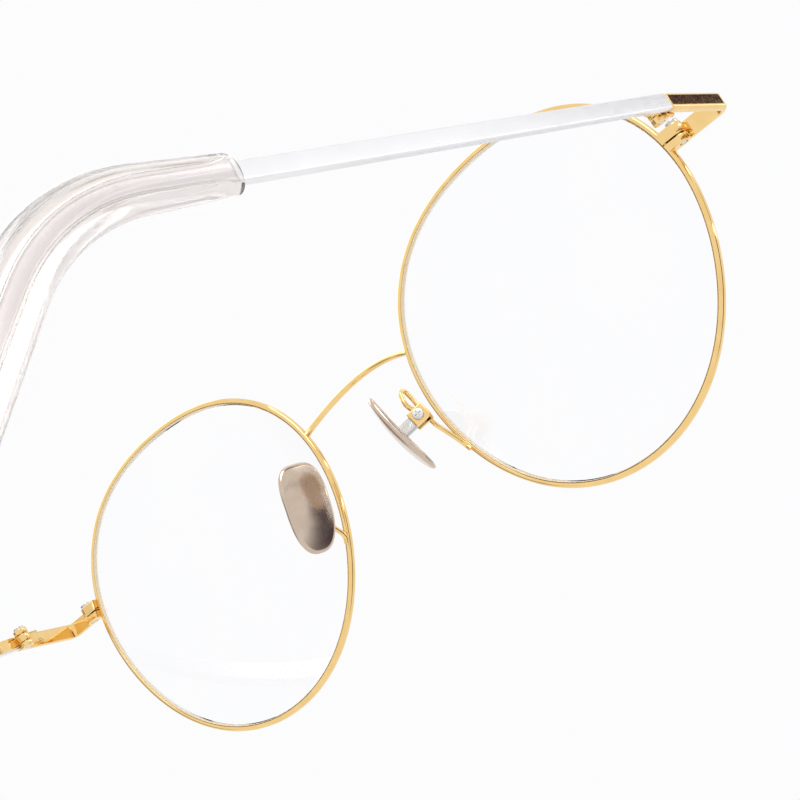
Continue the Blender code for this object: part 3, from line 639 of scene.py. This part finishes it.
def make_lens():
    edge = LENS_RADIUS
    half_bevel = GROOVE_WIDTH / 2 * GROOVE_DEPTH / (GROOVE_DEPTH + LENS_FIT)
    half = LENS_THICKNESS / 2
    chamfer = LENS_CHAMFER

    def front(radius):
        return half + (LENS_SAG - radius**2 / (2 * LENS_CURVE))

    radii = [edge * n / LENS_RINGS for n in range(LENS_RINGS)] + [edge - chamfer]
    profile = [(radius, front(radius)) for radius in radii]
    profile += [(edge, half - chamfer / 2), (edge, half_bevel), (edge + GROOVE_DEPTH, 0.0)]
    profile += [(edge, -half_bevel), (edge, chamfer / 2 - half)]
    profile += [(radius, front(radius) - LENS_THICKNESS) for radius in reversed(radii)]
    lens = turned(profile, LENS_STEPS)
    for vertex in lens.data.vertices:
        scale = outline_scale(math.atan2(vertex.co.y, vertex.co.x))
        vertex.co.x *= scale
        vertex.co.y *= scale
    outer = {vertex.index for vertex in lens.data.vertices if on_lens_edge(vertex.co)}
    lens.data.materials.append(LENS)
    lens.data.materials.append(LENS_EDGE_PAINTED_GOLD)
    # Faces on the edge and bevel take the edge material, whose gold is a painted reflection of the
    # groove
    for face in lens.data.polygons:
        face.material_index = 1 if outer.issuperset(face.vertices) else 0
    pair(moved(lens, LENS_FRAME), "lens", LENS, sharp=LENS_SOFT_EDGE)


# Wires
def wire(points, radii, fineness):
    """A round wire along one smooth curve through the points, with a radius at each point."""
    curve = bpy.data.curves.new("wire", "CURVE")
    curve.dimensions = "3D"
    curve.bevel_depth = 1.0
    curve.bevel_resolution = WIRE_BEVEL_STEPS
    curve.use_fill_caps = True
    curve.resolution_u = fineness
    spline = curve.splines.new("BEZIER")
    spline.bezier_points.add(len(points) - 1)
    for point, place, radius in zip(spline.bezier_points, points, radii):
        point.co = place
        point.radius = radius
        point.handle_left_type = "AUTO"
        point.handle_right_type = "AUTO"
    return evaluated(new_object("wire", curve))


def make_bridge():
    end = STAND.inverted() @ on_rim(BRIDGE_ANGLE)
    points, radii = [], []
    for n in range(BRIDGE_STEPS + 1):
        share = 2 * n / BRIDGE_STEPS - 1
        rise = 1 - share**2
        points.append((share * end.x, end.y - BRIDGE_FORWARD * rise, end.z + BRIDGE_RISE * rise))
        from_end = (1 - abs(share)) / BRIDGE_SWELL_SHARE
        radii.append(BRIDGE_WIRE * (1 + BRIDGE_SWELL * math.exp(-(from_end**2))))
    bridge = moved(wire(points, radii, fineness=4), STAND)
    disc = rim_disc()
    other = mirrored(disc)
    bridge = combined(combined(bridge, disc), other)
    dressed(bridge, "bridge", GOLD)


def make_arm():
    """The pad arm: from the rim's back up in a loop and down to the pad box."""
    rear = RIM_DEPTH / 2 + ARM_WIRE * ARM_STAND_OFF
    to_stand = STAND.inverted()
    foot = [
        to_stand @ on_rim(ARM_ANGLE + ARM_FOOT, 0.0, rear),
        to_stand @ on_rim(ARM_ANGLE, 0.0, rear + ARM_LIFT),
    ]
    path = [PAD_SCREW_PLACE + Vector(step) / 1000 for step in ARM_PATH]
    turn = Euler(PAD_ROTATION).to_matrix()
    landing = PAD_SCREW_PLACE + turn @ Vector((*ARM_LANDING, BOX_HEIGHT / 2 - SOLDER_SINK))
    points = foot + path + [landing]
    first, second, last = (ARM_WIRE * swell for swell in ARM_SWELLS)
    radii = [first, second] + [ARM_WIRE] * len(path) + [last]
    arm = moved(wire(points, radii, fineness=10), STAND)
    # The wire ends in the box's top, clear of the lug that rocks inside
    inside = block((2 * BOX_WIDTH, BOX_DEPTH, BOX_HEIGHT - SOLDER_SINK / 2), (0, 0, 0))
    pair(combined(arm, moved(inside, PAD_FRAME)), "pad_arm", GOLD)


# Endpieces and closing barrels
def shrunk(width, height, inset, edge, steps=4, outer=None):
    """The section of a bar near its rounded end, smaller by the inset on each side."""
    radius = edge - inset * EDGE_SHRINK
    outer = None if outer is None else outer - inset
    return rectangle(width - 2 * inset, height - 2 * inset, radius, steps, outer)


def make_endpiece():
    """A flat strip: outwards from the rim, round its corner and back to the hinge."""
    outwards = Vector((math.cos(TEMPLE_SPLAY), -math.sin(TEMPLE_SPLAY)))
    rearwards = Vector((math.sin(TEMPLE_SPLAY), math.cos(TEMPLE_SPLAY)))
    corner = Vector((HINGE_INSET, -END_LENGTH))
    turn = math.radians(90) + TEMPLE_SPLAY
    centre = corner - END_CORNER * math.tan(turn / 2) * outwards + END_CORNER * rearwards
    path = [(corner - END_WIDTH * outwards, -TEMPLE_SPLAY)]
    for n in range(END_TURN_STEPS + 1):
        angle = turn * n / END_TURN_STEPS - TEMPLE_SPLAY
        path.append((centre + END_CORNER * Vector((math.sin(angle), -math.cos(angle))), angle))
    stop = -HINGE_PLAY / 2
    path.append((Vector((HINGE_INSET, stop - END_EDGE)), math.radians(90)))
    rings = []
    section = rectangle(END_THICKNESS, END_HEIGHT, END_EDGE, END_CORNER_STEPS, END_CROWN)
    for point, angle in path:
        side = Vector((math.sin(angle), -math.cos(angle)))
        rings.append([(*(point + x * side), z) for x, z in section])
    slope = math.tan(TEMPLE_DROP - END_DROP)
    for n in range(1, EDGE_STEPS + 1):
        angle = math.radians(90) * n / EDGE_STEPS
        inset = END_EDGE * (1 - math.cos(angle))
        small = shrunk(END_THICKNESS, END_HEIGHT, inset, END_EDGE, END_CORNER_STEPS, END_CROWN)
        y = stop - END_EDGE * (1 - math.sin(angle))
        rings.append([(HINGE_INSET + x, y + z * slope, z) for x, z in small])
    endpiece = moved(through(rings), END_FRAME)
    pair(combined(endpiece, rim_disc()), "endpiece", GOLD)


def make_barrels():
    outline = tongue(-BARREL_FOOT, BARREL_RADIUS)
    for node, low, high in (
        ("upper_closing_barrel", SPLIT_HEIGHT + BARREL_SPLIT / 2, BARREL_TOP),
        ("lower_closing_barrel", BARREL_BOTTOM, SPLIT_HEIGHT - BARREL_SPLIT / 2),
    ):
        barrel = plate(outline, high - low, BARREL_EDGE, (low + high) / 2)
        barrel = combined(barrel, rod(LOCK_SCREW_RADIUS + RUNNING_FIT))
        barrel = moved(barrel, LOCK_FRAME)
        pair(combined(barrel, rim_disc()), node, GOLD)


# Screws. Shares of the head's height or radius, and of the shank's radius
HEAD_DOME = 0.35
HEAD_DOME_REACH = 0.9
HEAD_DOME_STEPS = 8
HEAD_FOOT_HEIGHT = 0.03
HEAD_FOOT_RADIUS = 0.97
SHANK_POINT_LENGTH = 0.3
SHANK_POINT_RADIUS = 0.7
CROSS_LENGTH = 1.25
CROSS_WIDTH = 0.9


def screw(radius, head_radius, head_height, length, cross=False):
    """A screw along Z, its head's underside at the origin, with a slotted or crossed head."""
    dome = HEAD_DOME * head_height
    reach = head_radius - dome * HEAD_DOME_REACH
    profile = [(0.0, head_height)]
    for n in range(HEAD_DOME_STEPS + 1):
        angle = math.radians(90) * n / HEAD_DOME_STEPS
        out = reach + (head_radius - reach) * math.sin(angle)
        profile.append((out, head_height - dome * (1 - math.cos(angle))))
    profile += [(head_radius, HEAD_FOOT_HEIGHT * head_height)]
    profile += [(head_radius * HEAD_FOOT_RADIUS, 0.0), (radius, 0.0)]
    profile += [(radius, -length + SHANK_POINT_LENGTH * radius)]
    profile += [(SHANK_POINT_RADIUS * radius, -length), (0.0, -length)]
    body = turned(profile)
    top = (0, 0, head_height)
    if not cross:
        return combined(body, block((4 * head_radius, SLOT_WIDTH, 2 * SLOT_DEPTH), top))
    long, wide = CROSS_LENGTH * head_radius, SLOT_WIDTH * CROSS_WIDTH
    slot = block((long, wide, 2 * SLOT_DEPTH), top)
    other = block((wide, long, 2 * SLOT_DEPTH), top)
    return combined(body, combined(slot, other, "UNION"))


def make_screws():
    length = BARREL_TOP - BARREL_BOTTOM
    lock = screw(LOCK_SCREW_RADIUS, LOCK_SCREW_HEAD, LOCK_SCREW_HEAD_HEIGHT, length)
    lock = moved(lock, Matrix.Rotation(LOCK_SCREW_TURN, 4, "Z"))
    lock_top = LOCK_FRAME @ Matrix.Translation((0, 0, BARREL_TOP))
    pair(moved(lock, lock_top), "closing_screw", STEEL)
    hinge = screw(HINGE_SCREW_RADIUS, HINGE_SCREW_HEAD, HINGE_SCREW_HEAD_HEIGHT, HINGE_HEIGHT)
    hinge = moved(hinge, Matrix.Rotation(HINGE_SCREW_TURN, 4, "Z"))
    hinge_top = HINGE_FRAME @ Matrix.Translation((0, 0, HINGE_HEIGHT / 2))
    pair(moved(hinge, hinge_top), "hinge_screw", STEEL)
    pad = screw(PAD_SCREW_RADIUS, PAD_SCREW_HEAD, PAD_SCREW_HEAD_HEIGHT, BOX_DEPTH, cross=True)
    box_side = Matrix.Translation((0, BOX_DEPTH / 2, 0))
    pad = moved(pad, box_side @ Matrix.Rotation(math.radians(-90), 4, "X"))
    pair(moved(pad, PAD_FRAME), "pad_screw", STEEL)


# Hinges
LEAF_OUTER = HINGE_INSET - END_THICKNESS / 2
LEAF_INNER = LEAF_OUTER - LEAF_THICKNESS
OUTER_KNUCKLE = (HINGE_HEIGHT - KNUCKLE_HEIGHT) / 2 - HINGE_PLAY
OUTER_KNUCKLE_PLACE = (HINGE_HEIGHT - OUTER_KNUCKLE) / 2


def knuckle(height, middle):
    """A ring about the hinge screw with rounded edges."""
    edge = KNUCKLE_EDGE
    bore = HINGE_SCREW_RADIUS + RUNNING_FIT
    corners = [(KNUCKLE_RADIUS, height / 2, edge), (bore, height / 2, edge / 3)]
    corners += [(bore, -height / 2, edge / 3), (KNUCKLE_RADIUS, -height / 2, edge)]
    ring = turned([tuple(point) for point in rounded(corners, EDGE_STEPS)])
    return moved(ring, Matrix.Translation((0, 0, middle)))


def make_leaf(node, side, knuckles, body):
    """A hinge leaf before (-1) or behind (1) the screw, with an arm to each (height, place)."""
    middle = (LEAF_OUTER + LEAF_INNER) / 2
    size = (LEAF_THICKNESS, LEAF_LENGTH, LEAF_HEIGHT)
    leaf = block(size, (middle, side * (LEAF_START + LEAF_LENGTH / 2), 0), LEAF_EDGE)
    arm_length = LEAF_START + LEAF_ARM_LAP
    bore_gap = HINGE_SCREW_RADIUS + RUNNING_FIT + LEAF_ARM_GAP
    for height, place in knuckles:
        size = (LEAF_THICKNESS * LEAF_ARM_THICKNESS, arm_length, height * LEAF_ARM_HEIGHT)
        centre = (middle - LEAF_ARM_INSET, side * arm_length / 2, place)
        arm = block(size, centre, LEAF_ARM_EDGE)
        arm = combined(arm, rod(bore_gap, 2 * HINGE_HEIGHT))
        leaf = combined(leaf, arm, "UNION")
        leaf = combined(leaf, knuckle(height, place), "UNION")
    pair(moved(leaf, HINGE_FRAME), node, GOLD, body)


def make_hinges():
    outer = [(OUTER_KNUCKLE, place) for place in (OUTER_KNUCKLE_PLACE, -OUTER_KNUCKLE_PLACE)]
    make_leaf("front_hinge", -1, outer, "front")
    make_leaf("temple_hinge", 1, [(KNUCKLE_HEIGHT, 0.0)], "side_temple")


# Temples and tips
def temple_point(along):
    """A point on the temple's middle line and its downward slope, at a length from the hinge."""
    if along <= BEND_START:
        return Vector((along, 0.0)), 0.0
    turned_by = min((along - BEND_START) / BEND_RADIUS, BEND_ANGLE)
    x = BEND_START + BEND_RADIUS * math.sin(turned_by)
    z = -BEND_RADIUS * (1 - math.cos(turned_by))
    rest = along - BEND_START - BEND_RADIUS * turned_by
    return Vector((x + rest * math.cos(turned_by), z - rest * math.sin(turned_by))), turned_by


def temple_ring(along, section):
    """The section set across the temple's middle line."""
    point, slope = temple_point(along)
    up = Vector((0.0, math.sin(slope), math.cos(slope)))
    centre = Vector((HINGE_INSET, point.x, point.y))
    return [centre + x * Vector((1, 0, 0)) + z * up for x, z in section]


CORE_STOP = TEMPLE_LENGTH - CORE_END


def bar_height(along):
    """The bar's height along the temple: full at the hinge, slimmer at the tip, then the core's."""
    if along < TEMPLE_NECK:
        return TEMPLE_HEIGHT
    if along < SLEEVE_START:
        loss = (TEMPLE_WAIST - TEMPLE_HEIGHT) * (along - TEMPLE_NECK)
        return TEMPLE_HEIGHT + loss / (SLEEVE_START - TEMPLE_NECK)
    share = min((along - SLEEVE_START) / CORE_LEAD, 1.0)
    return TEMPLE_WAIST + (CORE_HEIGHT - TEMPLE_WAIST) * share * share * (3 - 2 * share)


# Where the temple's rings lie: coarse along the bar, fine in the lead and middling in the core
BAR_FIRST_RING = 0.004
BAR_RING_STEP = 0.0025
BAR_RINGS = 29
LEAD_RING_STEP = 0.0005
LEAD_RINGS = 7
CORE_RING_STEP = 0.0015
CORE_LAST_GAP = 0.001


def make_temple():
    edge = TEMPLE_EDGE
    start = HINGE_PLAY / 2
    rings = []
    for n in range(EDGE_STEPS + 1):
        angle = math.radians(90) * n / EDGE_STEPS
        inset = edge * (1 - math.sin(angle))
        section = shrunk(TEMPLE_THICKNESS, TEMPLE_HEIGHT, inset, edge)
        rings.append(temple_ring(start + edge * (1 - math.cos(angle)), section))
    core_start = SLEEVE_START + CORE_LEAD
    core_rings = int(TEMPLE_LENGTH / CORE_RING_STEP)
    lengths = [BAR_FIRST_RING + BAR_RING_STEP * n for n in range(BAR_RINGS)]
    lengths += [SLEEVE_START + LEAD_RING_STEP * n for n in range(LEAD_RINGS)]
    lengths += [core_start + CORE_RING_STEP * n for n in range(1, core_rings)]
    for along in lengths:
        if along < CORE_STOP - CORE_LAST_GAP:
            section = rectangle(TEMPLE_THICKNESS, bar_height(along), edge)
            rings.append(temple_ring(along, section))
    for n in range(EDGE_STEPS + 1):
        angle = math.radians(90) * n / EDGE_STEPS
        inset = edge * (1 - math.cos(angle))
        section = shrunk(TEMPLE_THICKNESS, CORE_HEIGHT, inset, edge)
        rings.append(temple_ring(CORE_STOP - edge * (1 - math.sin(angle)), section))
    pair(moved(through(rings), HINGE_FRAME), "temple", SILVER, "side_temple")


def oval(height, thickness):
    angles = [2 * math.pi * n / OVAL_STEPS for n in range(OVAL_STEPS)]
    return [(thickness / 2 * math.cos(a), height / 2 * math.sin(a)) for a in angles]


def boxy(height, thickness):
    """A rounded rectangle with as many points as the oval and the same directions."""
    power = SLEEVE_BORE_SQUARE
    return [
        (thickness / 2 * signed_power(x, power), height / 2 * signed_power(z, power))
        for x, z in oval(2.0, 2.0)
    ]


# Where the tip's rings lie inside its mouth, and how round its lip and its end are
BORE_FIRST_RING = 0.0001
BORE_SECOND_RING = 0.0005
BORE_WIDE_STOP = 0.001
LIP_STEPS = 6
TIP_END_STEPS = 12
TIP_END_ANGLE = math.radians(88)


def make_tip():
    """The sleeve as one closed skin: out along its bore, round its lip and over its outside."""
    rings = []
    body_end = TEMPLE_LENGTH - SLEEVE_HEIGHT / 2
    lip = SLEEVE_LIP
    bore_height = TEMPLE_WAIST + 2 * SLEEVE_FIT
    bore_thickness = TEMPLE_THICKNESS + 2 * SLEEVE_FIT
    bore_stop = CORE_STOP + SLEEVE_FIT
    for n in range(BORE_STEPS, -1, -1):
        depth = bore_stop - SLEEVE_START - BORE_SECOND_RING
        along = SLEEVE_START + BORE_SECOND_RING + depth * n / BORE_STEPS
        height = CORE_HEIGHT + 2 * SLEEVE_FIT if along > SLEEVE_START + CORE_LEAD else bore_height
        if SLEEVE_START + BORE_WIDE_STOP < along <= SLEEVE_START + CORE_LEAD:
            height = bar_height(along) + 2 * SLEEVE_FIT
        rings.append(temple_ring(along, boxy(height, bore_thickness)))
    rings.append(temple_ring(SLEEVE_START + BORE_FIRST_RING, boxy(bore_height, bore_thickness)))
    for n in range(LIP_STEPS + 1):
        angle = math.radians(90) * n / LIP_STEPS
        inset = lip * (1 - math.sin(angle))
        along = SLEEVE_START + lip * (1 - math.cos(angle))
        section = oval(SLEEVE_MOUTH_HEIGHT - 2 * inset, SLEEVE_MOUTH_THICKNESS - 2 * inset)
        rings.append(temple_ring(along, section))
    for n in range(1, SLEEVE_STEPS + 1):
        share = n / SLEEVE_STEPS
        along = SLEEVE_START + share * (body_end - SLEEVE_START)
        if along < SLEEVE_START + lip:
            continue
        swell = math.sin(math.radians(90) * min(share / SLEEVE_SWELL, 1.0))
        height = SLEEVE_MOUTH_HEIGHT + (SLEEVE_HEIGHT - SLEEVE_MOUTH_HEIGHT) * swell
        thickness = SLEEVE_MOUTH_THICKNESS + (SLEEVE_THICKNESS - SLEEVE_MOUTH_THICKNESS) * swell
        rings.append(temple_ring(along, oval(height, thickness)))
    for n in range(1, TIP_END_STEPS + 1):
        angle = TIP_END_ANGLE * n / TIP_END_STEPS
        shrink = math.cos(angle)
        along = body_end + SLEEVE_HEIGHT / 2 * math.sin(angle)
        section = oval(SLEEVE_HEIGHT * shrink, SLEEVE_THICKNESS * math.sqrt(shrink))
        rings.append(temple_ring(along, section))
    pair(moved(through(rings), HINGE_FRAME), "temple_tip", TIP, "side_temple")


# Nose pads. Shares of the way from the pad's middle to its edge, and how finely it is cut
PAD_MIDDLE = 0.5
PAD_FLAT = 0.8
PAD_FLAT_STEPS = 12
PAD_EDGE_STEPS = 30
PAD_TURN_STEPS = 256


def make_pad():
    """A thin plate with a rounded edge, drawn to the pad's outline and bent to its two crowns."""
    half = PAD_THICKNESS / 2
    rounding = half / (PAD_WIDTH / 2)
    few = PAD_FLAT_STEPS // 2
    profile = [(PAD_MIDDLE * n / few, half) for n in range(few)]
    profile += [(PAD_MIDDLE + (PAD_FLAT - PAD_MIDDLE) * n / few, half) for n in range(few)]
    for n in range(PAD_EDGE_STEPS + 1):
        angle = math.radians(90 - 180 * n / PAD_EDGE_STEPS)
        profile.append((1 - rounding + rounding * math.cos(angle), half * math.sin(angle)))
    inwards = [PAD_FLAT - PAD_FLAT * n / PAD_FLAT_STEPS for n in range(PAD_FLAT_STEPS + 1)]
    profile += [(share, -half) for share in inwards]
    pad = turned(profile, PAD_TURN_STEPS)
    for vertex in pad.data.vertices:
        angle = math.atan2(vertex.co.y, vertex.co.x)
        share = math.hypot(vertex.co.x, vertex.co.y)
        end_square = PAD_TOP_SQUARE if vertex.co.y > 0 else PAD_FOOT_SQUARE
        up = PAD_LENGTH / 2 * signed_power(math.sin(angle), PAD_SIDE_SQUARE)
        across = PAD_WIDTH / 2 * signed_power(math.cos(angle), end_square)
        across *= 1 + PAD_TAPER * math.sin(angle)
        if share > PAD_MIDDLE:
            share = 1 - (1 - share) * PAD_WIDTH / 2 / math.hypot(up, across)
        up = share * up - PAD_SINK
        across *= share
        towards_face = (1 - vertex.co.z / half) / 2
        crown = towards_face / PAD_FACE_CROWN + (1 - towards_face) / PAD_BACK_CROWN
        bend = (up**2 + across**2) / 2 * crown
        vertex.co = (bend + vertex.co.z - PAD_REACH, across + PAD_OFFSET, up)
    pair(moved(pad, PAD_FRAME), "nose_pad", TITANIUM, "side_pad")


def make_lug():
    back = PAD_THICKNESS / 2 - PAD_REACH - LUG_SINK
    lug = plate(tongue(back, LUG_HEIGHT / 2, LUG_STEPS), LUG_THICKNESS, LUG_EDGE)
    lug = combined(lug, rod(PAD_SCREW_RADIUS + RUNNING_FIT))
    lug = moved(lug, Matrix.Rotation(math.radians(90), 4, "X"))
    pair(moved(lug, PAD_FRAME), "pad_lug", LUG, "side_pad")


def make_box():
    low = -BOX_WIDTH / 2
    high = LUG_HEIGHT / 2 + 2 * RUNNING_FIT + BOX_WEB
    size = (high - low, BOX_DEPTH, BOX_HEIGHT)
    body = block(size, ((high + low) / 2, 0, 0), BOX_EDGE, EDGE_STEPS)
    slot_size = (2 * BOX_WIDTH, LUG_THICKNESS + 2 * RUNNING_FIT, 2 * BOX_HEIGHT)
    body = combined(body, block(slot_size, (high - BOX_WEB - BOX_WIDTH, 0, 0)))
    bore = moved(rod(PAD_SCREW_RADIUS + RUNNING_FIT), Matrix.Rotation(math.radians(90), 4, "X"))
    body = combined(body, bore)
    pair(moved(body, PAD_FRAME), "pad_box", GOLD)


make_rim()
make_lens()
make_bridge()
make_arm()
make_endpiece()
make_barrels()
make_screws()
make_hinges()
make_temple()
make_tip()
make_pad()
make_lug()
make_box()


# Floor: pale, it keeps the object's shadow, and it can be seen through from below.
# It is whole out to the first radius and fades away to the second
FLOOR_SOLID = 0.12
FLOOR_RADIUS = 0.48
FLOOR_STEPS = 96
FLOOR_COLOUR = (0.93, 0.93, 0.94, 1.0)
FLOOR_ROUGHNESS = 0.7
FLOOR_GLOSS = 0.2


def make_floor():
    work = bmesh.new()
    bmesh.ops.create_circle(work, cap_ends=True, segments=FLOOR_STEPS, radius=FLOOR_RADIUS)
    floor = as_object(work)
    floor.name = "floor"
    made, tree, shader = shader_of("floor_pale")
    shader.inputs["Base Color"].default_value = FLOOR_COLOUR
    shader.inputs["Roughness"].default_value = FLOOR_ROUGHNESS
    shader.inputs["Specular IOR Level"].default_value = FLOOR_GLOSS
    clear = tree.nodes.new("ShaderNodeBsdfTransparent")
    side = tree.nodes.new("ShaderNodeNewGeometry")
    place = tree.nodes.new("ShaderNodeTexCoord")
    far = tree.nodes.new("ShaderNodeVectorMath")
    far.operation = "LENGTH"
    tree.links.new(place.outputs["Object"], far.inputs[0])
    away = far.outputs["Value"]
    faded = ranged(tree, away, 0.0, 1.0, FLOOR_SOLID, FLOOR_RADIUS, "SMOOTHSTEP")
    path = tree.nodes.new("ShaderNodeLightPath")
    glossy, through_glass = path.outputs["Is Glossy Ray"], path.outputs["Is Transmission Ray"]
    in_metal = compared(tree, "GREATER_THAN", glossy, through_glass)
    gone = compared(tree, "MAXIMUM", faded, side.outputs["Backfacing"])
    gone = compared(tree, "MAXIMUM", gone, in_metal)
    surfaced(tree, mixed(tree, gone, shader, clear))
    floor.data.materials.append(made)


# World: white behind the object, softer white for lighting it, and for metal a white room with
# darker places. Each has its direction, the angle within which it is darkest, the angle at which
# it ends, both in degrees, and its depth
BEHIND = (0.975, 0.975, 0.985, 1.0)
AROUND = (1.0, 1.0, 1.0, 1.0)
AROUND_STRENGTH = 0.62
IN_METAL = (1.0, 0.99, 0.98, 1.0)
IN_METAL_DARK = (0.05, 0.03, 0.05, 1.0)
DARK_PLACES = (
    ((-0.477, -0.843, 0.250), 2.7, 3.4, 1.0),
    ((1.00, -0.09, 0.15), 11.0, 19.0, 0.70),
    ((0.86, 0.50, 0.15), 11.0, 19.0, 0.70),
    ((-0.80, 0.02, 0.60), 7.0, 13.0, 0.70),
    ((-0.97, -0.03, -0.24), 5.0, 13.0, 0.75),
    ((-0.96, -0.26, -0.09), 7.0, 20.0, 0.60),
    ((-0.89, -0.16, -0.42), 9.0, 24.0, 0.78),
    ((-0.75, -0.03, -0.66), 9.0, 24.0, 0.78),
)


def make_world():
    world = bpy.data.worlds.new("studio")
    bpy.context.scene.world = world
    world.use_nodes = True
    tree = world.node_tree
    tree.nodes.clear()
    path = tree.nodes.new("ShaderNodeLightPath")
    place = tree.nodes.new("ShaderNodeTexCoord")

    def background(colour, strength=1.0):
        made = tree.nodes.new("ShaderNodeBackground")
        made.inputs["Color"].default_value = colour
        made.inputs["Strength"].default_value = strength
        return made

    def facing(direction, inner, outer, depth):
        dot = tree.nodes.new("ShaderNodeVectorMath")
        dot.operation = "DOT_PRODUCT"
        dot.inputs[1].default_value = Vector(direction).normalized()
        tree.links.new(place.outputs["Generated"], dot.inputs[0])
        start, stop = math.cos(math.radians(outer)), math.cos(math.radians(inner))
        return ranged(tree, dot.outputs["Value"], 0.0, depth, start, stop, "SMOOTHSTEP")

    white = background(BEHIND)
    soft = background(AROUND, AROUND_STRENGTH)
    mirror = background(IN_METAL)
    dark = background(IN_METAL_DARK)
    for direction, inner, outer, depth in DARK_PLACES:
        mirror = mixed(tree, facing(direction, inner, outer, depth), mirror, dark)
    seen = mixed(tree, path.outputs["Is Glossy Ray"], soft, mirror)
    seen = mixed(tree, path.outputs["Is Transmission Ray"], seen, white)
    seen = mixed(tree, path.outputs["Is Camera Ray"], seen, white)
    out = tree.nodes.new("ShaderNodeOutputWorld")
    tree.links.new(seen.outputs[0], out.inputs["Surface"])


# Lamps: each round one has its place, width and power. Each strip runs between two places and
# shows as a white glint on the rim
LAMPS = (
    ("key_light", (-0.35, 0.30, 0.60), 0.50, 1.6),
    ("fill_light", (0.45, -0.30, 0.50), 0.60, 0.9),
)
STRIPS = (
    ("low_glint", (-0.645, -1.107, -0.086), (-1.243, -0.089, -0.165)),
    ("middle_glint", (-0.740, -1.060, 0.247), (-1.190, 0.010, 0.365)),
    ("high_glint", (-0.235, -0.942, 0.844), (-0.430, 0.020, 1.170)),
)
STRIP_WIDTH = 0.06
STRIP_POWER = 0.5


def new_lamp(name, shape, size, power):
    data = bpy.data.lights.new(name, "AREA")
    data.shape = shape
    data.size = size
    data.energy = power
    lamp = new_object(name, data)
    lamp.visible_camera = False
    return lamp


def make_lamp(name, place, size, power):
    lamp = new_lamp(name, "DISK", size, power)
    lamp.location = place
    lamp.rotation_euler = (-Vector(place)).to_track_quat("-Z", "Y").to_euler()


def make_strip(name, first, last):
    first, last = Vector(first), Vector(last)
    middle = (first + last) / 2
    lamp = new_lamp(name, "RECTANGLE", (last - first).length, STRIP_POWER)
    lamp.data.size_y = STRIP_WIDTH
    away = middle.normalized()
    across = away.cross(last - first).normalized()
    turn = Matrix((across.cross(away), across, away)).transposed().to_4x4()
    lamp.matrix_world = Matrix.Translation(middle) @ turn


make_floor()
make_world()
for lamp_values in LAMPS:
    make_lamp(*lamp_values)
for strip_values in STRIPS:
    make_strip(*strip_values)


# Camera: behind the wearer's right side and below the front, as in the photograph.
# Its place and axes are the front's own, before the glasses were set down on the floor
CAMERA_PLACE = Vector((-0.1213004, 0.1960335, -0.0668582))
CAMERA_RIGHT = Vector((-0.6815050, -0.5684416, -0.4608960))
CAMERA_DOWN = Vector((0.5464416, 0.0236479, -0.8371633))
CAMERA_AHEAD = Vector((0.4867777, -0.8223837, 0.2945039))
SENSOR = 36.0
FOCAL_PIXELS = 1724.113
IMAGE_PIXELS = 800.0
CLIP_START = 0.001

camera_data = bpy.data.cameras.new("camera")
camera_data.sensor_width = SENSOR
camera_data.lens = FOCAL_PIXELS / IMAGE_PIXELS * SENSOR
camera_data.clip_start = CLIP_START
camera = new_object("camera", camera_data)
axes = Matrix((CAMERA_RIGHT, -CAMERA_DOWN, -CAMERA_AHEAD)).transposed().to_4x4()
camera.matrix_world = STAND @ Matrix.Translation(CAMERA_PLACE) @ axes
bpy.context.scene.camera = camera
bpy.context.scene.view_settings.view_transform = "Standard"
